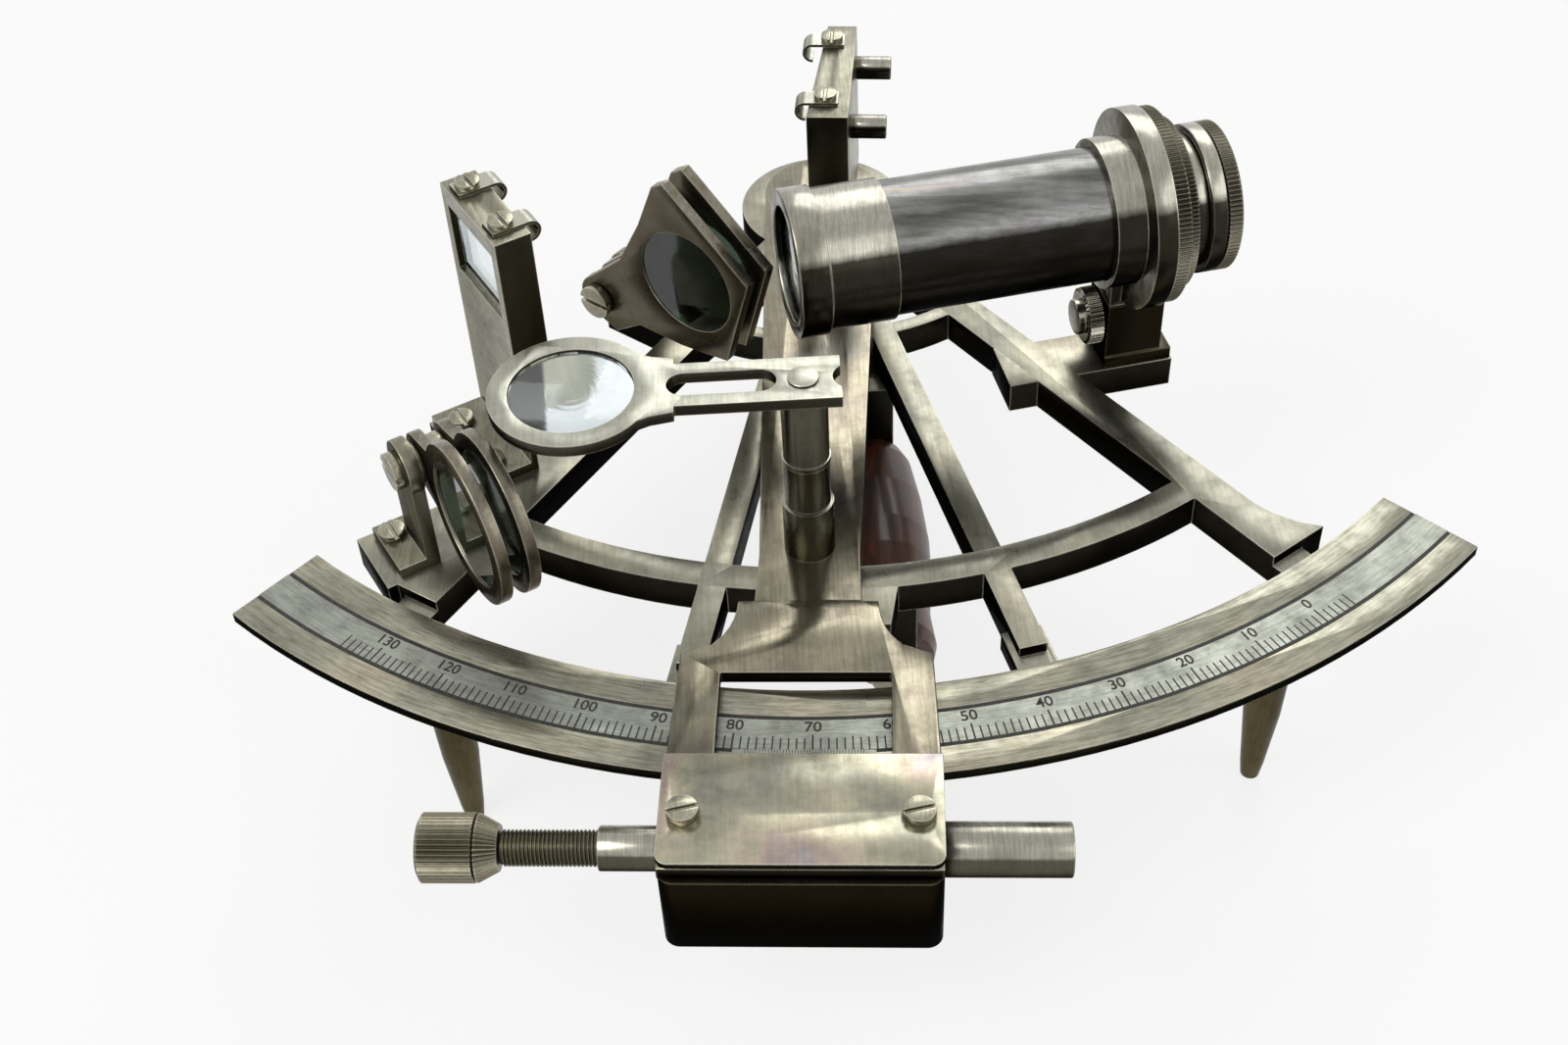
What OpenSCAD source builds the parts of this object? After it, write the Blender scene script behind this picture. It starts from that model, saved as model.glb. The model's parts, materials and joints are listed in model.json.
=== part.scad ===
// Brass sextant standing on three legs. Millimetres, +Z up.
// The origin is on the ground under the middle of the instrument.
// The arc faces -Y and the index arm turns about a vertical axis near the back.

/* [Limb] */
// Outer radius of the limb, from the pivot axis
limb_r = 183; // [180:0.5:190]
// Width of the limb, along a radius
limb_w = 22; // [20:0.5:24]
// Thickness of the limb plate
limb_t = 2.5; // [2:0.1:3]
// Half of the angle that the limb covers
limb_half = 43.9; // [42:0.1:46]
// Inner radius of the silver strip, measured in from the limb's outer edge
scale_in = 14.5; // [13:0.1:16]
// Width of the silver strip
scale_w = 7.6; // [6:0.1:8]
// Thickness of the silver strip
scale_t = 0.4; // [0.3:0.05:0.8]

/* [Frame] */
// Thickness of the frame casting
frame_t = 7.5; // [6:0.1:9]
// Radius of the hub disc
hub_r = 20; // [18:0.5:22]
// Inner radius of the small ring round the hub
hub_ring_r = 51; // [48:0.5:53]
// Radial width of the small ring
hub_ring_w = 3.5; // [3:0.1:5]
// Inner radius of the middle ring
mid_ring_r = 128; // [126:0.5:130]
// Radial width of the middle ring
mid_ring_w = 6.5; // [5:0.1:8]
// Angle of each outer bar from the middle line
outer_bar_angle = 34.5; // [33:0.1:36]
// Width of the outer bars
outer_bar_w = 8.5; // [7:0.1:10]
// Angle of each inner bar from the middle line
inner_bar_angle = 12.5; // [11:0.1:14]
// Width of the inner bars
inner_bar_w = 5.8; // [5:0.1:7]
// Radius where the bars end, short of the limb
bar_end_r = 157; // [155:0.1:159]
// Depth that the lugs under the limb reach past its inner edge
lug_reach = 13; // [10:0.1:14]
// Radius of the fixing screws' shanks
fixing_r = 1.5; // [1.2:0.05:1.8]

/* [Legs and handle] */
// Height of the limb's top face over the ground
stand_h = 52; // [50:0.5:56]
// Distance of the front legs' axes outside the limb's inner edge
leg_inset = 7; // [6:0.1:8]
// Angle of each front leg from the middle line
leg_angle = 30; // [28:0.5:31]
// Radius of a leg at its top
leg_top_r = 4.5; // [4:0.1:5]
// Radius of a leg at its foot
leg_foot_r = 2; // [1.6:0.1:3]
// Distance of the rear leg behind the pivot
rear_leg_y = 13.5; // [13:0.1:14]
// Length of the wooden grip
grip_l = 64; // [58:0.5:66]
// Largest radius of the grip
grip_r = 11; // [10:0.1:12]
// Depth of the grip's axis below the frame's top
grip_drop = 30; // [28:0.5:32]
// Sideways place of the grip
grip_x = 8; // [6:0.5:10]

/* [Index arm] */
// Angle of the arm at rest, from the middle line
arm_rest = -4; // [-6:0.1:-2]
// Thickness of the arm
arm_t = 3; // [2.5:0.1:3.5]
// Gap between the limb's top face and the arm
arm_lift = 1; // [0.8:0.05:1.2]
// Half of the arm's width at the pivot
arm_half_hub = 14; // [13:0.1:14.5]
// Half of the arm's width where its shoulders start
arm_half_neck = 10.3; // [10:0.1:10.8]
// Radius where the shoulders start
shoulder_r = 141; // [140:0.5:142]
// Half of the width of the arm's broad end
arm_half_end = 25.5; // [25:0.1:26]
// Distance that the arm reaches past the limb
arm_past = 23; // [22:0.1:25]
// Width of the reading window
window_w = 33; // [30:0.5:34]
// Distance of the reading window's inner end inside the limb's inner edge
window_in = 1; // [0.5:0.1:2]
// Length of the reading window
window_l = 21; // [20:0.1:21.5]
// Thickness of the cover plate
cover_t = 1.5; // [1.2:0.1:2]
// Radius of a cheese-head screw
screw_head_r = 3; // [2.8:0.05:3.2]
// Height of a cheese-head screw
screw_head_h = 1.6; // [1.4:0.05:1.8]
// Radius of the arbor that the arm turns on
arbor_r = 4; // [3.5:0.1:4.5]
// Outer radius of the bush in the hub
bush_r = 7; // [6.5:0.1:7.5]

/* [Tangent screw] */
// Half of the width of the box under the arm
box_half = 25.6; // [25:0.1:25.7]
// Depth of the box below the limb's top face
box_depth = 18.5; // [17:0.1:20]
// Wall of the box
box_wall = 2; // [1.6:0.1:2.2]
// Radius of the box's front corners
box_corner = 3; // [2.6:0.1:4]
// Gap between the limb's edge and the box
limb_gap = 1.5; // [1:0.1:2]
// Distance of the tangent screw's axis outside the limb
tangent_past = 12; // [11.5:0.1:12.5]
// Height of the tangent screw's axis
tangent_z = -4.8; // [-5:0.1:-4.6]
// Radius of the tangent screw
tangent_screw_r = 3.4; // [3:0.1:3.5]
// Outer radius of the threaded sleeve
sleeve_r = 4.2; // [4.1:0.05:4.4]
// Length of the sleeve outside the box
sleeve_l = 11.7; // [10:0.1:14]
// Length of bare thread at rest
bare_thread_l = 18.2; // [16:0.1:20]
// Radius of the knurled knob
knob_r = 6.5; // [6:0.1:7]
// Length of the knurled knob
knob_l = 15; // [13:0.1:17]
// Radius of the spring barrel
barrel_r = 5.1; // [4.9:0.05:5.4]
// Length of the spring barrel
barrel_l = 23.4; // [22:0.1:26]
// Radius of the plunger inside the barrel
plunger_r = 2; // [1.8:0.1:2.1]
// Travel of the clamp block each way
clamp_travel = 2; // [1:0.1:2]

/* [Magnifier] */
// Distance of the magnifier's post from the pivot
post_place_r = 125.3; // [125:0.1:126]
// Radius of the post's lower part
post_r = 5.2; // [5:0.1:5.4]
// Radius of the post's upper part
post_top_r = 4.6; // [4.2:0.1:4.8]
// Height of the magnifier plate's top face over the limb
magnifier_z = 48.5; // [47:0.5:50]
// Thickness of the magnifier plate
magnifier_t = 2.5; // [2.2:0.1:3]
// Distance from the post to the lens's middle
magnifier_reach = 44; // [42:0.5:45]
// Outer radius of the lens ring
magnifier_ring_r = 16; // [15.5:0.1:16]
// Radius of the magnifier's lens
magnifier_lens_r = 11.5; // [10:0.1:12]

/* [Telescope] */
// Height of the telescope's axis over the limb
scope_z = 40; // [40:0.5:42]
// Outer radius of the telescope's tube
tube_r = 14.25; // [14:0.05:14.4]
// Wall of the tube
tube_wall = 1.6; // [1.2:0.1:1.8]
// Overall length of the telescope
scope_l = 94.5; // [92:0.5:96]
// Radius of the objective cell's front ring
cell_front_r = 15.75; // [15.5:0.05:15.9]
// Radius of the objective cell's rear ring
cell_rear_r = 15; // [14.9:0.05:15.3]
// Radius of the flange ring
flange_r = 21.5; // [20.5:0.1:22]
// Radius of the knurled ring
knurl_r = 21; // [19.5:0.1:21]
// Radius of the eyepiece ring
eyepiece_r = 16; // [15:0.1:16.5]
// Radius of the eyepiece's draw tube
draw_r = 12.4; // [11.5:0.1:12.4]
// Travel of the eyepiece
focus_travel = 6; // [4:0.5:6]
// Travel of the rising piece
rise_travel = 8; // [6:0.5:8]
// Width of the rising piece's square stem
stem_w = 8; // [7:0.1:8.5]

/* [Mirrors] */
// Width of the horizon mirror's bracket
horizon_w = 26.4; // [25:0.1:27]
// Height of the horizon mirror's bracket over the frame
horizon_h = 60; // [59:0.5:61]
// Height of the line between clear and silvered glass
horizon_split_z = 40; // [39:0.5:41]
// Length of the index mirror's bracket
index_l = 40; // [38:0.5:40]
// Height of the index mirror's bracket over the limb
index_h = 41; // [40:0.5:42]
// Depth of the index mirror's bracket
index_d = 9.5; // [9:0.1:10]
// Thickness of the bracket plates
sheet_t = 1.6; // [1.4:0.1:1.8]
// Thickness of the mirror glasses
glass_t = 3; // [2.5:0.1:3]

/* [Shades] */
// Thickness of the shade plates
shade_t = 2.6; // [2.4:0.1:2.6]
// Spacing of the index shades
index_shade_pitch = 6.6; // [6:0.1:6.6]
// Radius of the index shades' glasses
index_shade_glass_r = 12.3; // [11:0.1:12.5]
// Spacing of the horizon shades
horizon_shade_pitch = 6; // [5.6:0.1:6.2]
// Radius of the horizon shades' glasses
horizon_shade_glass_r = 13; // [12:0.1:13.5]
// Outer radius of the horizon shades
horizon_shade_ring_r = 17; // [16:0.1:17]
// Radius of the shades' pivot pins
shade_pin_r = 2; // [1.8:0.1:2.2]

/* [Hidden] */
$fn = 64;
eps = 0.1;
fit_gap = 0.05;
run_gap = 0.05;
side_gap = 0.3;
limb_in_r = limb_r - limb_w;
arm_l = limb_r + arm_past;
box_front = arm_l + 1;
box_l = box_front - limb_r - limb_gap;
depth_front = (box_front - box_corner) * cos(arm_rest) + (box_half - box_corner) * sin(-arm_rest)
    + box_corner;
y_shift = (depth_front - hub_r) / 2;
leg_place_r = limb_in_r + leg_inset;
scale_in_r = limb_r - scale_in;
lug_end_r = limb_in_r + lug_reach;
lug_angles = [-outer_bar_angle, -inner_bar_angle, inner_bar_angle, outer_bar_angle];
lug_low = -frame_t + 0.5;
screw_r = 1.4;
arm_z = arm_lift;
arm_top = arm_lift + arm_t;
window_r = limb_in_r - window_in;
window_end_r = window_r + window_l;
tangent_r = limb_r + tangent_past;
tangent_reach = box_half + sleeve_l + bare_thread_l;
bore_r = tube_r - tube_wall;
scope_angle = 10.2;
scope_start = [-10.4, -78, 0];
ring_at = 67;
flange_at = 73.5;
knurl_at = 78;
knurl_2_at = 81.5;
neck_at = 84;
eyepiece_at = 87.5;
mount_at = 77.5;
mount_side = 2;
socket_l = 13;
socket_d = 12;
stem_grip = 9;
socket_top = rise_travel + stem_grip;
horizon_place = [-74, -82.3, 0];
horizon_angle = -61.2;
index_place = [3.2, -5, 0];
index_angle = 83.3;
index_shade_place = [-52.4, -47.2, 0];
index_shade_angle = -39.6;
index_shade_pin_z = 11;
index_shade_glass_at = [27, 27];
horizon_shade_place = [-91.5, -118, 0];
horizon_shade_angle = -61.2;
horizon_shade_pin_z = 24;
horizon_shade_glass_at = [21.5, 23.5];
horizon_shade_first_y = 13;
screw_place = [21.3, arm_l - 11.2];
clip_w = 5;
clip_t = 0.7;
clip_hook_r = 2.4;
clip_head_r = 2.6;
clip_head_h = 1.4;
clip_side = 8;
index_foot_t = 2;
knob_taper_l = 4;
bracket_screw_l = 7;
bracket_foot_t = 2.5;
grip_front_y = -mid_ring_r - mid_ring_w / 2 + 3;
strap_t = 2.4;
rod_r = 3;
rod_end = 5;
barrel_bore_r = 4;
clamp_screw_r = 2;
clamp_r = tangent_r - 3;
block_half = box_half - box_wall - clamp_travel - 1.2;
block_low = -box_depth + box_wall + side_gap;
spring_r = 3;
spring_wire_r = 0.45;
spring_from = block_half + clamp_travel + 1;
spring_l = box_half + barrel_l - 4 - spring_from;
spring_turns = 8;
spring_steps = spring_turns * 14;
post_top_z = magnifier_z - magnifier_t - 0.2;
magnifier_pin_r = 1.8;

// Places a child drawn round the pivot axis, with the limb's top face at zero
module stand() {
    translate([0, y_shift, stand_h]) children();
}

// Turns a child with the index arm, which lies along -Y in its own frame
module on_arm() {
    stand() rotate([0, 0, arm_rest]) children();
}

// Lays a child that is drawn along +Z along the telescope's axis
module on_scope(at = 0) {
    stand() translate(scope_start + [0, 0, scope_z]) rotate([0, 0, scope_angle])
        translate([at, 0, 0]) rotate([0, 90, 0]) children();
}

module horizon_frame() {
    translate(horizon_place) rotate([0, 0, horizon_angle]) children();
}

module index_shade_frame() {
    translate(index_shade_place) rotate([0, 0, index_shade_angle]) children();
}

module horizon_shade_frame() {
    translate(horizon_shade_place) rotate([0, 0, horizon_shade_angle]) children();
}

module at_horizon() {
    stand() horizon_frame() children();
}

module at_index() {
    stand() translate(index_place) rotate([0, 0, index_angle]) children();
}

module at_index_shades() {
    stand() index_shade_frame() children();
}

module at_horizon_shades() {
    stand() horizon_shade_frame() children();
}

// A piece of a flat ring between two radii and two angles from the middle line
module arc_plate(r_in, r_out, from, to, z_low, z_high) {
    rotate([0, 0, from - 90]) rotate_extrude(angle = to - from, $fn = 180)
        translate([r_in, z_low]) square([r_out - r_in, z_high - z_low]);
}

module bar(angle, w, r_in, r_out, z_low, z_high) {
    rotate([0, 0, angle]) translate([-w / 2, -r_out, z_low]) cube([w, r_out - r_in, z_high - z_low]);
}

module upright(t) {
    rotate([90, 0, 0]) linear_extrude(t) children();
}

// A cheese-head screw standing on z = 0, with its shank below
module slotted_screw(head_r, head_h, shank_r, shank_l) {
    difference() {
        union() {
            cylinder(r = head_r, h = head_h);
            translate([0, 0, -shank_l]) cylinder(r = shank_r, h = shank_l + eps);
        }
        translate([-head_r - eps, -head_r * 0.14, head_h * 0.5])
            cube([2 * head_r + 2 * eps, head_r * 0.28, head_h]);
    }
}

// A lens with round faces, standing on z = 0
module lens(r, edge, middle) {
    sag = (middle - edge) / 2;
    steps = 8;
    low = [for (i = [0:steps]) [r * i / steps, sag * pow(i / steps, 2)]];
    high = [for (i = [steps:-1:0]) [r * i / steps, middle - sag * pow(i / steps, 2)]];
    rotate_extrude() polygon(concat(low, high));
}

module frame_casting() {
    color("darkkhaki") stand() difference() {
        union() {
            translate([0, 0, -frame_t]) linear_extrude(frame_t) frame_plan();
            for (a = lug_angles) bar(a, outer_bar_w, bar_end_r - 8, lug_end_r, lug_low, -limb_t);
        }
        translate([0, 0, -frame_t - eps]) cylinder(r = bush_r + fit_gap, h = frame_t + 2 * eps);
        for (a = lug_angles) rotate([0, 0, a]) translate([0, -leg_place_r, lug_low - eps])
            cylinder(r = fixing_r + fit_gap, h = frame_t);
        bracket_screw_places() translate([0, 0, -bracket_screw_l + 1])
            cylinder(r = fixing_r + fit_gap, h = bracket_screw_l);
    }
}

// The whole casting seen from above
module frame_plan() {
    circle(r = hub_r);
    band(hub_ring_r, hub_ring_r + hub_ring_w);
    band(mid_ring_r, mid_ring_r + mid_ring_w);
    for (side = [-1, 1]) {
        flat_bar(side * outer_bar_angle, outer_bar_w, bar_end_r);
        flat_bar(side * inner_bar_angle, inner_bar_w, bar_end_r - 1);
        bar_foot(side);
    }
    middle_stub();
    horizon_pad();
    index_shade_pad();
    horizon_shade_pad();
    telescope_pad();
}

module flat_bar(angle, w, r_out) {
    rotate([0, 0, angle]) translate([-w / 2, -r_out]) square([w, r_out - hub_r / 2]);
}

// A ring between the outer bars
module band(r_in, r_out) {
    far = 2 * r_out;
    a = outer_bar_angle;
    intersection() {
        difference() {
            circle(r = r_out);
            circle(r = r_in);
        }
        polygon([[0, 0], [-far * sin(a), -far * cos(a)], [far * sin(a), -far * cos(a)]]);
    }
}

// The outer bars' ends flare outwards where they meet the arc
module bar_foot(side) {
    foot_from = bar_end_r - 18;
    half = outer_bar_w / 2;
    rotate([0, 0, side * outer_bar_angle]) polygon([[side * half * 0.8, -foot_from],
        [side * (half + 0.8), -foot_from - 9], [side * (half + 3), -bar_end_r + 4],
        [side * (half + 6), -bar_end_r], [0, -bar_end_r], [0, -foot_from]]);
}

module middle_stub() {
    stub_from = mid_ring_r + mid_ring_w - 1;
    polygon([[-8.7, -stub_from], [-6.4, -stub_from - 11], [6.4, -stub_from - 11], [8.7, -stub_from]]);
}

module horizon_pad() {
    half = horizon_w / 2 + 1;
    horizon_frame() polygon([[-half, -12.5], [half, -12.5], [half, 4], [7, 20], [-7, 20], [-half, 4]]);
}

module index_shade_pad() {
    index_shade_frame() translate([-8, shade_back_y() - 1]) square([28, 10]);
}

module horizon_shade_pad() {
    horizon_shade_frame() translate([-11, -8]) square([17, 20]);
}

module telescope_pad() {
    pad_l = 38;
    pad_w = socket_d + 1.6;
    pad_past = 9.4;
    translate(scope_start) rotate([0, 0, scope_angle])
        translate([mount_at + pad_past - pad_l, mount_side - pad_w / 2]) square([pad_l, pad_w]);
}

function shade_back_y() = index_shade_pitch + shade_t / 2 + 1.2;
function horizon_shade_back_y() = horizon_shade_first_y - horizon_shade_pitch - shade_t / 2 - 1.2;

// Where screws hold the brackets of the mirror and the shades on the casting
module bracket_screw_places() {
    horizon_frame() for (side = [-1, 1]) translate([side * clip_side, -7, 0]) children();
    index_shade_frame() translate([0, shade_back_y() + 6, 0]) children();
    horizon_shade_frame() translate([-6, horizon_shade_back_y() - 6, 0]) children();
}

module limb() {
    color("darkkhaki") stand() difference() {
        arc_plate(limb_in_r, limb_r, -limb_half, limb_half, -limb_t, 0);
        arc_plate(scale_in_r - fit_gap, scale_in_r + scale_w + fit_gap,
            -limb_half - 1, limb_half + 1, -scale_t, 1);
        for (a = lug_angles)
            rotate([0, 0, a]) translate([0, -leg_place_r, -limb_t - eps])
                cylinder(r = fixing_r + fit_gap, h = limb_t - scale_t - 0.6 + eps);
    }
}

module silver_scale() {
    color("lightgray") stand()
        arc_plate(scale_in_r, scale_in_r + scale_w, -limb_half, limb_half, -scale_t, 0);
}

module limb_screws() {
    color("goldenrod") stand()
        for (a = lug_angles)
            rotate([0, 0, a]) translate([0, -leg_place_r, lug_low]) rotate([180, 0, 0])
                slotted_screw(2 * fixing_r, 1.4, fixing_r, -lug_low - scale_t - 0.8);
}

// A turned leg that hangs down from z = 0
module turned_leg(l) {
    rotate_extrude() polygon([[0, 0], [leg_top_r, 0], [leg_top_r, -3], [leg_top_r - 1, -4],
        [leg_top_r - 1, -5.5],
        [leg_top_r, -6.5], [leg_top_r - 0.6, -l * 0.58], [leg_foot_r + 0.5, -l * 0.92],
            [leg_foot_r, -l], [0, -l]]);
}

module leg_left() {
    color("darkgoldenrod") stand() rotate([0, 0, -leg_angle]) translate([0, -leg_place_r, -limb_t])
        turned_leg(stand_h - limb_t);
}

module leg_right() {
    color("darkgoldenrod") stand() rotate([0, 0, leg_angle]) translate([0, -leg_place_r, -limb_t])
        turned_leg(stand_h - limb_t);
}

module leg_rear() {
    color("darkgoldenrod") stand() translate([0, rear_leg_y, -frame_t]) turned_leg(stand_h - frame_t);
}

module handle_grip() {
    color("saddlebrown") stand() translate([grip_x, grip_front_y, -grip_drop]) rotate([-90, 0, 0])
        difference() {
            rotate_extrude() polygon([[0, 0], [grip_r - 3.5, 0], [grip_r - 2, 1], [grip_r - 1.2, 4],
                [grip_r - 1.8, grip_l * 0.2], [grip_r - 0.3, grip_l * 0.42], [grip_r, grip_l * 0.55],
                [grip_r - 0.6, grip_l * 0.75], [grip_r - 2, grip_l - 4],
                    [grip_r - 3.5, grip_l], [0, grip_l]]);
            translate([0, 0, -eps]) cylinder(r = rod_r + fit_gap, h = grip_l + 2 * eps);
        }
}

// A strap that hangs from the frame, bored for the handle's rod at z = -drop
module strap(drop) {
    difference() {
        union() {
            translate([-5, 0, -drop]) cube([10, strap_t, drop - frame_t]);
            translate([0, 0, -drop]) rotate([-90, 0, 0]) cylinder(r = 5, h = strap_t);
        }
        translate([0, -eps, -drop]) rotate([-90, 0, 0]) cylinder(r = rod_r + fit_gap, h = strap_t + 2 * eps);
    }
}

module handle_brackets() {
    foot_l = -hub_ring_r - (grip_front_y + grip_l) + 2;
    color("darkkhaki") stand() {
        translate([grip_x, grip_front_y - strap_t, 0]) strap(grip_drop);
        translate([grip_x, grip_front_y + grip_l, 0]) {
            strap(grip_drop);
            translate([-5, 0, -frame_t - strap_t]) cube([10, foot_l, strap_t]);
        }
    }
}

module handle_rod() {
    rod_from = grip_front_y - strap_t;
    rod_l = grip_l + 2 * strap_t;
    color("goldenrod") stand() translate([grip_x, rod_from, -grip_drop]) rotate([-90, 0, 0]) {
        cylinder(r = rod_r, h = rod_l);
        translate([0, 0, -2.5]) cylinder(r = rod_end, h = 2.5);
        translate([0, 0, rod_l]) cylinder(r = rod_end, h = 3, $fn = 6);
    }
}

module pivot_bush() {
    color("goldenrod") stand() difference() {
        translate([0, 0, -frame_t - 0.5]) cylinder(r = bush_r, h = frame_t + 0.5);
        translate([0, 0, -frame_t - 1]) cylinder(r = arbor_r + run_gap, h = frame_t + 2);
    }
}

module pivot_arbor() {
    color("goldenrod") on_arm() {
        translate([0, 0, -frame_t - 4.3]) cylinder(r = arbor_r, h = frame_t + 4.3 + arm_top);
        translate([0, 0, 0.2]) cylinder(r = hub_r - 8, h = arm_lift - 0.2);
    }
}

module pivot_nut() {
    color("goldenrod") on_arm() difference() {
        translate([0, 0, -frame_t - 4.2]) cylinder(r = 7, h = 3.4, $fn = 6);
        translate([0, 0, -frame_t - 5]) cylinder(r = arbor_r + fit_gap, h = 5);
    }
}

// Half of the arm's width against the distance from the pivot, as an outline
function shoulder(i) = let (t = i / 6)
    [arm_half_neck + 3.7 + (arm_half_end - arm_half_neck - 4.7) * (1 - sqrt(1 - t * t)),
        -shoulder_r - 14 * t];

module arm_outline() {
    right = concat([[arm_half_hub, 0], [arm_half_neck, -mid_ring_r], [arm_half_neck + 0.4, -shoulder_r]],
        [for (i = [0:6]) shoulder(i)], [[arm_half_end, -window_end_r], [arm_half_end, -arm_l]]);
    count = len(right);
    left = [for (i = [count - 1:-1:0]) [-right[i][0], right[i][1]]];
    polygon(concat(right, left));
}

module index_arm() {
    color("darkkhaki") on_arm() difference() {
        translate([0, 0, arm_z]) {
            linear_extrude(arm_t) arm_outline();
            cylinder(r = arm_half_hub, h = arm_t);
        }
        translate([0, 0, -eps]) cylinder(r = arbor_r + fit_gap, h = arm_top + 1);
        translate([-window_w / 2, -window_end_r, 0]) cube([window_w, window_l, arm_top + 1]);
        for (side = [-1, 1]) translate([side * screw_place[0], -screw_place[1], 0])
            cylinder(r = screw_r + fit_gap, h = arm_top + 1);
    }
}

module vernier() {
    vernier_w = 27;
    vernier_l = 7.5;
    color("lightgray") on_arm() translate([-vernier_w / 2, -window_end_r - 3, arm_z - 0.7])
        cube([vernier_w, vernier_l, 0.7]);
}

module cover_plate() {
    corner = 2.5;
    half = arm_half_end + 0.25;
    color("darkkhaki") on_arm() difference() {
        translate([0, 0, arm_top]) linear_extrude(cover_t) {
            translate([-half, -arm_l + corner]) square([2 * half, arm_l - window_end_r - corner]);
            translate([-half + corner, -arm_l]) square([2 * half - 2 * corner, corner + eps]);
            for (side = [-1, 1]) translate([side * (half - corner), -arm_l + corner]) circle(r = corner);
        }
        for (side = [-1, 1]) translate([side * screw_place[0], -screw_place[1], 0])
            cylinder(r = screw_r + fit_gap, h = arm_top + cover_t + 1);
    }
}

// The cover plate's screws and those of the index mirror's clips
module arm_screws() {
    color("gainsboro") {
        on_arm() for (side = [-1, 1])
            translate([side * screw_place[0], -screw_place[1], arm_top + cover_t]) rotate([0, 0, 15])
                slotted_screw(screw_head_r, screw_head_h, screw_r, cover_t + arm_t - 0.2);
        at_index() index_clip_places() clip_screw();
    }
}

// The box seen from above, drawn in by a wall's thickness for its inside
module box_plan(inset) {
    half = box_half - inset;
    front = box_front - inset;
    corner = box_corner - inset;
    translate([-half, -front + corner]) square([2 * half, box_l - corner]);
    translate([-half + corner, -front]) square([2 * half - 2 * corner, corner + eps]);
    for (side = [-1, 1]) translate([side * (half - corner), -front + corner]) circle(r = corner);
}

module tangent_box() {
    color("dimgray") on_arm() difference() {
        translate([0, 0, -box_depth]) linear_extrude(box_depth + arm_z) box_plan(0);
        translate([0, 0, -box_depth + box_wall]) linear_extrude(box_depth + arm_z) box_plan(box_wall);
        tangent_line(-box_half - eps) cylinder(r = sleeve_r + fit_gap, h = box_wall + 2 * eps);
        tangent_line(box_half - box_wall - eps) cylinder(r = barrel_bore_r, h = box_wall + 2 * eps);
        clamp_slot(box_wall + 2 * eps);
    }
}

// Along the tangent screw, which lies across the arm
module tangent_line(at) {
    translate([at, -tangent_r, tangent_z]) rotate([0, 90, 0]) children();
}

module clamp_slot(h) {
    half = clamp_travel + clamp_screw_r + side_gap;
    translate([-half, -clamp_r - clamp_screw_r - side_gap, -box_depth - eps])
        cube([2 * half, 2 * (clamp_screw_r + side_gap), h]);
}

module tangent_sleeve() {
    inside = box_wall + 0.4;
    color("darkkhaki") on_arm() difference() {
        tangent_line(-box_half - sleeve_l) cylinder(r = sleeve_r, h = sleeve_l + inside);
        tangent_line(-box_half - sleeve_l - eps)
            cylinder(r = tangent_screw_r + run_gap, h = sleeve_l + inside + 2 * eps);
    }
}

module spring_barrel() {
    color("darkkhaki") on_arm() difference() {
        tangent_line(box_half) cylinder(r = barrel_r, h = barrel_l);
        tangent_line(box_half - eps) cylinder(r = barrel_bore_r, h = barrel_l - 3);
    }
}

function spring_point(i, j) = let (a = i * 360 * spring_turns / spring_steps, b = j * 45,
    r = spring_r + spring_wire_r * cos(b)) [r * cos(a), r * sin(a), spring_l * i / spring_steps
    + spring_wire_r * sin(b)];

module tangent_spring() {
    color("silver") on_arm() tangent_line(spring_from) polyhedron(
        points = [for (i = [0:spring_steps]) for (j = [0:7]) spring_point(i, j)],
        faces = concat([[for (j = [0:7]) j]], [[for (j = [7:-1:0]) spring_steps * 8 + j]],
            [for (i = [0:spring_steps - 1]) for (j = [0:7])
                [i * 8 + j, (i + 1) * 8 + j, (i + 1) * 8 + (j + 1) % 8, i * 8 + (j + 1) % 8]]));
}

module clamp_block() {
    jaw_t = 2.6;
    jaw_top = -limb_t - 0.6;
    color("goldenrod") on_arm() difference() {
        union() {
            translate([-block_half, -box_front + box_wall + side_gap, block_low])
                cube([2 * block_half, box_l - box_wall - limb_gap, arm_z - side_gap - block_low]);
            translate([-14, -limb_r - 6, jaw_top - jaw_t]) cube([28, limb_r + 6 - lug_end_r - 1.2, jaw_t]);
            tangent_line(block_half - 1) cylinder(r = plunger_r, h = barrel_l - 4);
        }
        translate([0, -clamp_r, block_low - eps]) cylinder(r = clamp_screw_r + run_gap, h = 4.5);
    }
}

module clamp_screw() {
    head_l = 7;
    color("darkgoldenrod") on_arm() translate([0, -clamp_r, -box_depth - side_gap - head_l]) {
        cylinder(r = 5, h = head_l);
        cylinder(r = clamp_screw_r, h = head_l + box_wall + 4.4);
    }
}

module tangent_screw() {
    core_end = box_half - box_wall - 1;
    color("saddlebrown") on_arm() {
        tangent_line(-tangent_reach) cylinder(r = tangent_screw_r, h = tangent_reach - core_end);
        tangent_line(-tangent_reach - 8) cylinder(r = 2.2, h = 9);
    }
}

module tangent_knob() {
    color("dimgray") on_arm() tangent_line(-tangent_reach - knob_l) difference() {
        rotate_extrude() polygon([[0, 0], [knob_r - 0.6, 0], [knob_r, 0.6], [knob_r, knob_l - knob_taper_l],
            [knob_r - 0.9, knob_l - 1.6], [knob_r - 2.1, knob_l], [0, knob_l]]);
        translate([0, 0, knob_l - 8.2]) cylinder(r = 2.2 + fit_gap, h = 9);
    }
}

module at_magnifier() {
    on_arm() translate([0, -post_place_r, 0]) rotate([0, 0, -arm_rest]) children();
}

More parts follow.
